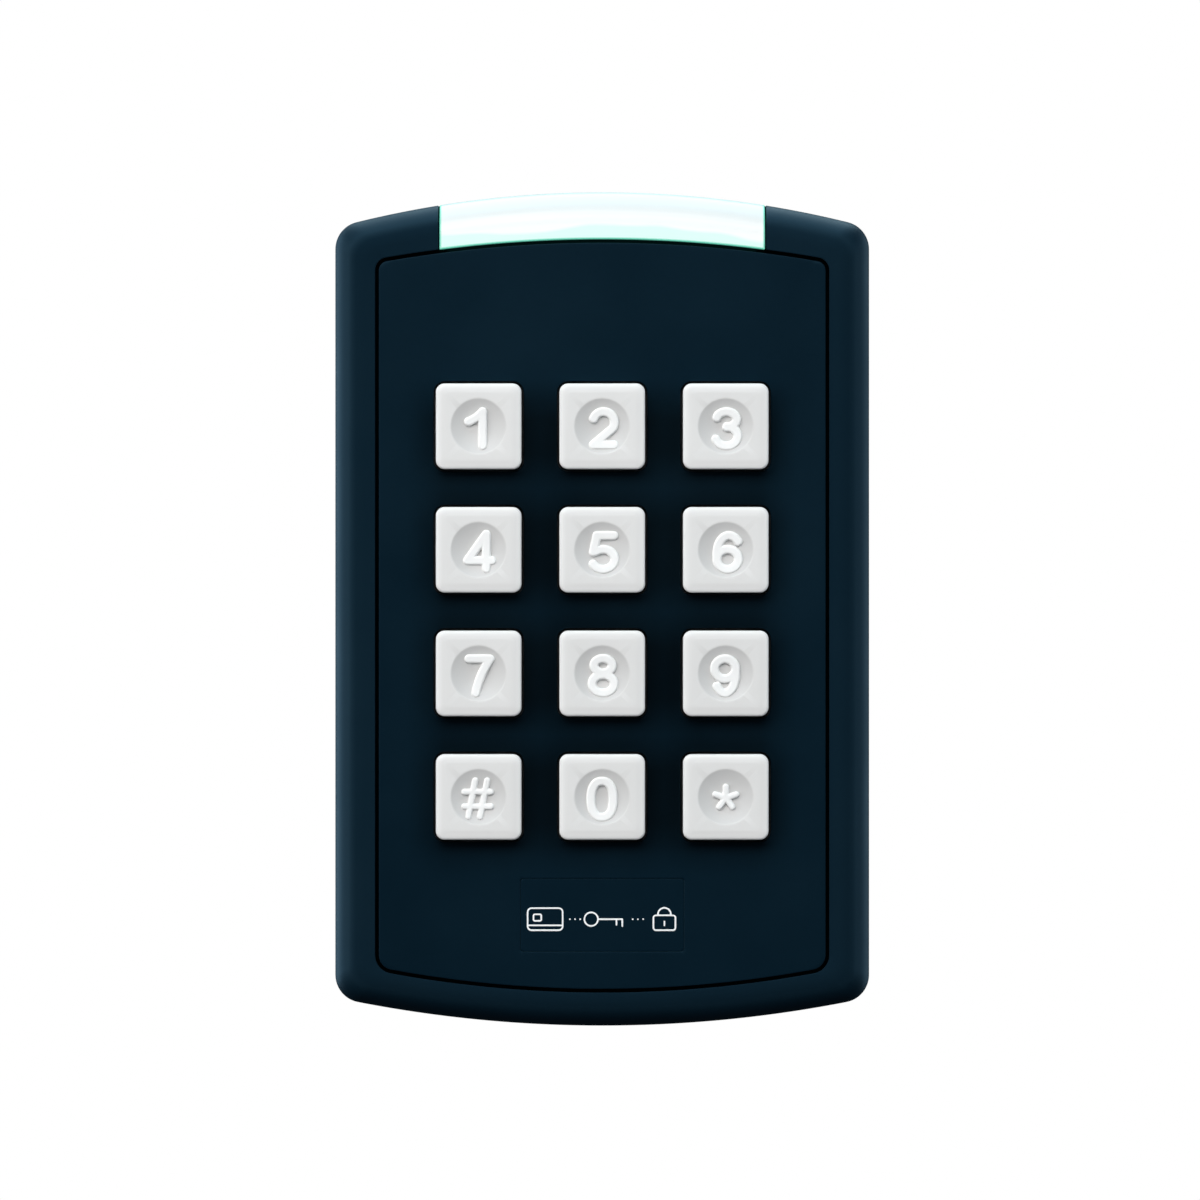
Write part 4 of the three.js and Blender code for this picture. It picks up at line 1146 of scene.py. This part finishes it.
mat = {"thickness": 0.8, "domeBase": 4.4, "domeTop": 3.0, "skin": 0.7, "collapsed": 0.6, "corner": 2.0}
matBox = boxMm("keypad_mat")
matFront = matBox["back"] + mat["thickness"]
domeHeight = matBox["front"] - matFront


def makeMatWeb():
    wide, high = matBox["right"] - matBox["left"], matBox["top"] - matBox["bottom"]
    middleUp, holeRadius = middleOf(matBox)[1], mat["domeBase"] - mat["skin"]
    holes = [lambda inset, centre=centre: circleLoop(holeRadius + inset, *centre, 32)
             for centre in keyCentres.values()]

    def outline(inset):
        return roundedSquareLoop(wide - 2 * inset, mat["corner"], 0, middleUp, high - 2 * inset)

    return plateMesh(outline, holes, matBox["back"], matFront, frontRound=0.1, backRound=0.1, steps=2)


def domeProfile():
    # its outside from the foot to the top, then its inside back down
    base, tip, skin, high = mat["domeBase"], mat["domeTop"], mat["skin"], domeHeight
    profile = [(base, 0), (base - 0.35, 0.45 * high), (tip + 0.15, 0.85 * high), (tip, high),
               (tiny, high), (tiny, high - skin), (tip - skin, high - skin),
               (base - skin - 0.3, 0.4 * high), (base - skin, 0)]
    return [(radius, matFront + rise) for radius, rise in profile]


finishPiece("matWeb", makeMatWeb(), "siliconeSkin", ["keypad_mat"])
for keyName, (keyAcross, keyUp) in keyCentres.items():
    domeMesh = turnedMesh(domeProfile(), keyAcross, keyUp, True, 32)
    dome = finishPiece("matDome" + keyName[4:].capitalize(), domeMesh, "siliconeSkin")
    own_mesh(dome)
print("mat made")


# Base plate, grommet and screws, seen from behind

plate = {"thickness": 2.4, "inset": 1.45, "slotWidth": 4.8, "slotLength": 10.0, "boxPitch": 83.3,
         "roundPitch": 60.0, "play": 0.15, "tamperHole": 1.8, "rootDepth": 0.3}
grommet = {"neck": 7.3, "flange": 9.3, "flangeThickness": 0.8, "bore": 4.0, "back": 0.15, "edgeEase": 0.25,
           "domeEase": 0.7, "boreEase": 0.3, "mouthEase": 0.6}
hook = {"across": 16, "half": 4, "below": 5.2, "stem": 1.6, "nose": 2.9, "noseBack": 4.4, "front": 6.0}
screwBlock = {"half": 4.5, "height": 5.0, "gap": 0.4}
grommetBox = boxMm("cable_grommet")
inletUp = middleOf(grommetBox)[1]
plungerBox = boxMm("tamper_plunger")
plungerAcross, plungerUp = middleOf(plungerBox)
baseBox = boxMm("base_plate")


def makeBasePlate():
    half, quarter = plate["boxPitch"] / 2, plate["roundPitch"] / 2
    slots = [(0, half, False), (0, -half, False), (quarter, 0, True), (-quarter, 0, True)]
    holes = [lambda inset, s=s: slotLoop(plate["slotLength"] + 2 * inset, plate["slotWidth"] + 2 * inset, *s)
             for s in slots]
    holes.append(lambda inset: circleLoop(grommet["neck"] + plate["play"] + inset, 0, inletUp))
    holes.append(lambda inset: circleLoop(plate["tamperHole"] + inset, plungerAcross, plungerUp, 32))
    mesh = plateMesh(lambda inset: archedLoop(bodyEdge, plate["inset"] + inset), holes, 0.0,
                     plate["thickness"], frontRound=0.2, backRound=0.35)
    rootOut, hookUp = plate["thickness"] - plate["rootDepth"], baseBox["top"] - hook["below"]
    for middle in (-hook["across"], hook["across"]):  # a stem, and a nose that catches the housing's top
        wide = (middle - hook["half"], middle + hook["half"])
        addBox(mesh, wide, (hookUp, hookUp + hook["stem"]), (rootOut, hook["front"]))
        addBox(mesh, wide, (hookUp, hookUp + hook["nose"]), (hook["noseBack"], hook["front"]))
    blockLow = bodyEdge["bottom"] + housing["wall"] + screwBlock["gap"]
    addBox(mesh, (-screwBlock["half"], screwBlock["half"]), (blockLow, blockLow + screwBlock["height"]),
           (rootOut, baseBox["front"]))
    return mesh


finishPiece("basePlate", makeBasePlate(), "basePlastic", ["base_plate"])


def makeGrommet():
    bore, flange, neck, edge = (grommet[key] for key in ("bore", "flange", "neck", "edgeEase"))
    back, front = grommet["back"], grommetBox["front"]
    flangeFront, plateFront = back + grommet["flangeThickness"], plate["thickness"] + plate["play"]
    profile = [
        (bore, back + grommet["boreEase"]), (bore + grommet["boreEase"], back), (flange - edge, back),
        (flange, back + edge), (flange, flangeFront), (neck, flangeFront), (neck, plateFront),
        (flange, plateFront), (flange - grommet["domeEase"], front), (bore + grommet["mouthEase"], front),
        (bore, plateFront),
    ]
    return turnedMesh(profile, 0, inletUp, True, 64)


finishPiece("cableGrommet", makeGrommet(), "sealRubber", ["cable_grommet"])


def makeSecurityScrew():
    # turned along the screw's own axis, then stood up so that its head looks down
    style, count = securityScrew, 72
    head, tall, shank = style["head"], style["headHeight"], style["shank"]
    recessOut = tall - style["recessDepth"]

    def ring(radius, depth, lobeRise=0.0):
        points = []
        for i in range(count):
            turn = 2 * math.pi * i / count
            reached = radius * (1 + lobeRise * math.cos(style["lobes"] * turn))
            points.append(Vector((reached * math.cos(turn), reached * math.sin(turn), depth)))
        return points

    pin, pinOut, recess, edge = style["pin"], tall - style["pinSunk"], style["recess"], style["edgeRound"]
    rings = [ring(tiny, pinOut), ring(pin, pinOut), ring(pin, recessOut),
             ring(recess * style["recessTaper"], recessOut, style["lobeRise"]),
             ring(recess, tall - style["recessEase"], style["lobeRise"]),
             ring(recess * style["recessBrim"], tall)]
    rings += [ring(head - inset, tall - edge + out) for inset, out in arcSteps(edge, 6)[::-1]]
    rings += [ring(head, 0), ring(shank, 0)]
    threaded = style["length"] - 4 * style["plainNeck"]
    for i in range(style["threads"] * 2):
        depth = style["plainNeck"] + i * threaded / style["threads"] / 2
        rings.append(ring(shank - (style["threadDepth"] if i % 2 else 0), -depth))
    rings += [ring(shank * 0.5, -style["length"] + style["point"]), ring(tiny, -style["length"])]
    base = place(0, screwBox["bottom"] + tall, screwOut)
    stand = Matrix.Translation(base) @ Matrix.Rotation(math.pi, 4, "X") @ Matrix.Scale(metresPerMm, 4)
    return loftMesh([[stand @ point for point in points] for points in rings])


finishPiece("securityScrew", makeSecurityScrew(), "screwSteel", ["security_screw"])
print("back made")


# Tamper plunger and its spring

tamper = {"rod": 1.5, "collar": 2.6, "collarThickness": 0.8, "tipRound": 0.5, "chamfer": 0.15,
          "endEase": 0.2, "springPlay": 0.15, "coil": 2.1, "wire": 0.25, "turns": 4, "stepsPerTurn": 28,
          "sides": 10}
springBox = boxMm("tamper_spring")


def makePlunger():
    tip, end, rod, collar = plungerBox["back"], plungerBox["front"], tamper["rod"], tamper["collar"]
    chamfer, tipRound = tamper["chamfer"], tamper["tipRound"]
    collarBack = springBox["back"] - tamper["springPlay"] - tamper["collarThickness"]
    collarFront = collarBack + tamper["collarThickness"]
    profile = [(tiny, tip)]
    profile += [(rod - inset, tip + tipRound - out) for inset, out in arcSteps(tipRound, 5)[::-1]]
    profile += [(rod, collarBack), (collar - chamfer, collarBack), (collar, collarBack + chamfer),
                (collar, collarFront - chamfer), (collar - chamfer, collarFront), (rod, collarFront),
                (rod, end - tamper["endEase"]), (rod - tamper["endEase"], end), (tiny, end)]
    return turnedMesh(profile, plungerAcross, plungerUp)


finishPiece("tamperPlunger", makePlunger(), "plungerAcetal", ["tamper_plunger"],
            body="tamper_plunger")


def makeSpring():
    coil, wire, turns = tamper["coil"], tamper["wire"], tamper["turns"]
    low, high = springBox["back"] + wire, springBox["front"] - wire
    steps = turns * tamper["stepsPerTurn"]
    rings = []
    for share in (i / steps for i in range(steps + 1)):
        angle, middleOut = 2 * math.pi * turns * share, low + (high - low) * share
        section = circleLoop(wire, coil, 0, tamper["sides"])
        sine, cosine = math.sin(angle), math.cos(angle)
        rings.append([place(plungerAcross + radius * cosine, plungerUp + radius * sine, middleOut + rise)
                      for radius, rise in section])
    return loftMesh(rings)


spring = finishPiece("tamperSpring", makeSpring(), "springSteel", ["tamper_spring"],
                     body=None)
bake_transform(spring)
print("tamper made")


# Finishes for the pieces kept from the frame

keptFinishes = {
    "guideClear": ["light_guide"],
    "ledResin": [f"status_led_{n}" for n in range(1, 5)],
    "boardLaminate": ["main_board"],
    "coilCopper": ["antenna_coil"],
    "terminalGreen": ["terminal_block"],
    "componentBlack": ["sounder", "processor_chip", "reader_chip", "voltage_regulator", "tamper_switch"],
    "canAluminium": ["crystal", "supply_capacitor", "filter_capacitor"],
    "screwSteel": [f"board_screw_{n}" for n in range(1, 5)],
    "sealRubber": ["base_gasket"],
}
for finishName, nodeNames in keptFinishes.items():
    for nodeName in nodeNames:
        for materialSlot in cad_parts[nodeName].material_slots:
            materialSlot.material = finishes[finishName]
print("kept pieces finished")


# Floor, light and camera

stage = {"floorUp": -200.0, "floorRadius": 420.0, "floorColour": (0.66, 0.62, 0.60), "floorRoughness": 0.9,
         "roomColour": (0.9, 0.95, 1.0), "roomGlow": 0.02}


def mixShader(mask, first, second):
    node = addNode(mask.id_data, "ShaderNodeMixShader")
    for socket, value in zip(node.inputs, (mask, first, second)):
        feed(socket, value)
    return node.outputs[0]


floorMesh = bmesh.new()
bmesh.ops.create_circle(floorMesh, cap_ends=True, segments=96, radius=stage["floorRadius"] * metresPerMm,
                        matrix=Matrix.Translation((0, 0, stage["floorUp"] * metresPerMm)))
floor = addMesh("floor", floorMesh)
floorMaterial, floorTree, floorShader = startMaterial("paleFloor")
feedAll(floorShader, Base_Color=stage["floorColour"], Roughness=stage["floorRoughness"])
underside = addNode(floorTree, "ShaderNodeNewGeometry").outputs["Backfacing"]
clear = addNode(floorTree, "ShaderNodeBsdfTransparent").outputs[0]  # the reader can be seen from underneath
feed(floorTree.nodes["Material Output"].inputs["Surface"],
     mixShader(underside, floorShader.outputs[0], clear))
floor.data.materials.append(floorMaterial)
floor.visible_glossy = floor.visible_diffuse = floor.visible_shadow = False

world = bpy.data.worlds.new("studio")
scene.world = world
world.use_nodes = True
worldTree = world.node_tree
worldTree.nodes.clear()
toCamera = addNode(worldTree, "ShaderNodeLightPath").outputs["Is Camera Ray"]
glows = [addNode(worldTree, "ShaderNodeBackground") for _ in range(2)]
feedAll(glows[0], Color=stage["roomColour"], Strength=stage["roomGlow"])
feedAll(glows[1], Color=(1.0, 1.0, 1.0))
feed(addNode(worldTree, "ShaderNodeOutputWorld").inputs["Surface"],
     mixShader(toCamera, *(glow.outputs[0] for glow in glows)))

aimPoint = (Vector(cadBox[0]) + Vector(cadBox[1])) / 2
lamps = {
    # name: place, size across and up, watts, colour
    "keySoftbox": ((-0.20, -1.12, 0.78), (1.2, 0.6), 15.8, (1.0, 1.0, 1.0)),
    "topSoftbox": ((0.0, 0.22, 0.85), (1.0, 1.4), 13.2, (0.62, 0.88, 1.0)),
    "leftSoftbox": ((-0.80, 0.42, 0.10), (0.8, 0.9), 5.5, (0.5, 0.8, 1.0)),
    "leftFront": ((-0.98, -0.55, 0.15), (0.8, 0.9), 6.8, (0.98, 0.99, 1.0)),
    "rightSoftbox": ((0.80, 0.42, 0.05), (0.8, 0.9), 3.0, (0.5, 0.8, 1.0)),
    "rightFront": ((0.98, -0.55, 0.05), (0.8, 0.9), 3.8, (0.85, 0.94, 1.0)),
    "lowFill": ((0.0, -0.90, -0.90), (1.2, 0.6), 1.5, (0.85, 0.94, 1.0)),
    "backFill": ((0.3, 1.4, 0.7), (1.2, 1.2), 14.0, (1.0, 1.0, 1.0)),
}
for lampName, (lampPlace, lampSize, watts, lampColour) in lamps.items():
    lamp = bpy.data.lights.new(lampName, "AREA")
    lamp.shape, lamp.size, lamp.size_y = "RECTANGLE", *lampSize
    lamp.energy, lamp.color = watts, lampColour
    holder = addObject(lampName, lamp)
    holder.location = lampPlace
    holder.rotation_euler = (aimPoint - Vector(lampPlace)).to_track_quat("-Z", "Y").to_euler()
    holder.visible_glossy = lampName != "backFill"  # it only fills, and leaves no glint along the top

view = {"distance": 2.4, "frameWidth": 185.5, "across": -0.34, "up": 1.39, "sensor": 36.0}
cameraData = bpy.data.cameras.new("camera")
cameraData.sensor_width = view["sensor"]
cameraData.lens = view["sensor"] * view["distance"] / (view["frameWidth"] * metresPerMm)
camera = addObject("camera", cameraData)
rimOut = housing["depth"] - housing["edgeRound"]
camera.location = place(view["across"], view["up"], rimOut) + Vector((0, -view["distance"], 0))
camera.rotation_euler = (math.radians(90), 0, 0)
scene.camera = camera
scene.view_settings.view_transform = "Standard"
print("stage made")
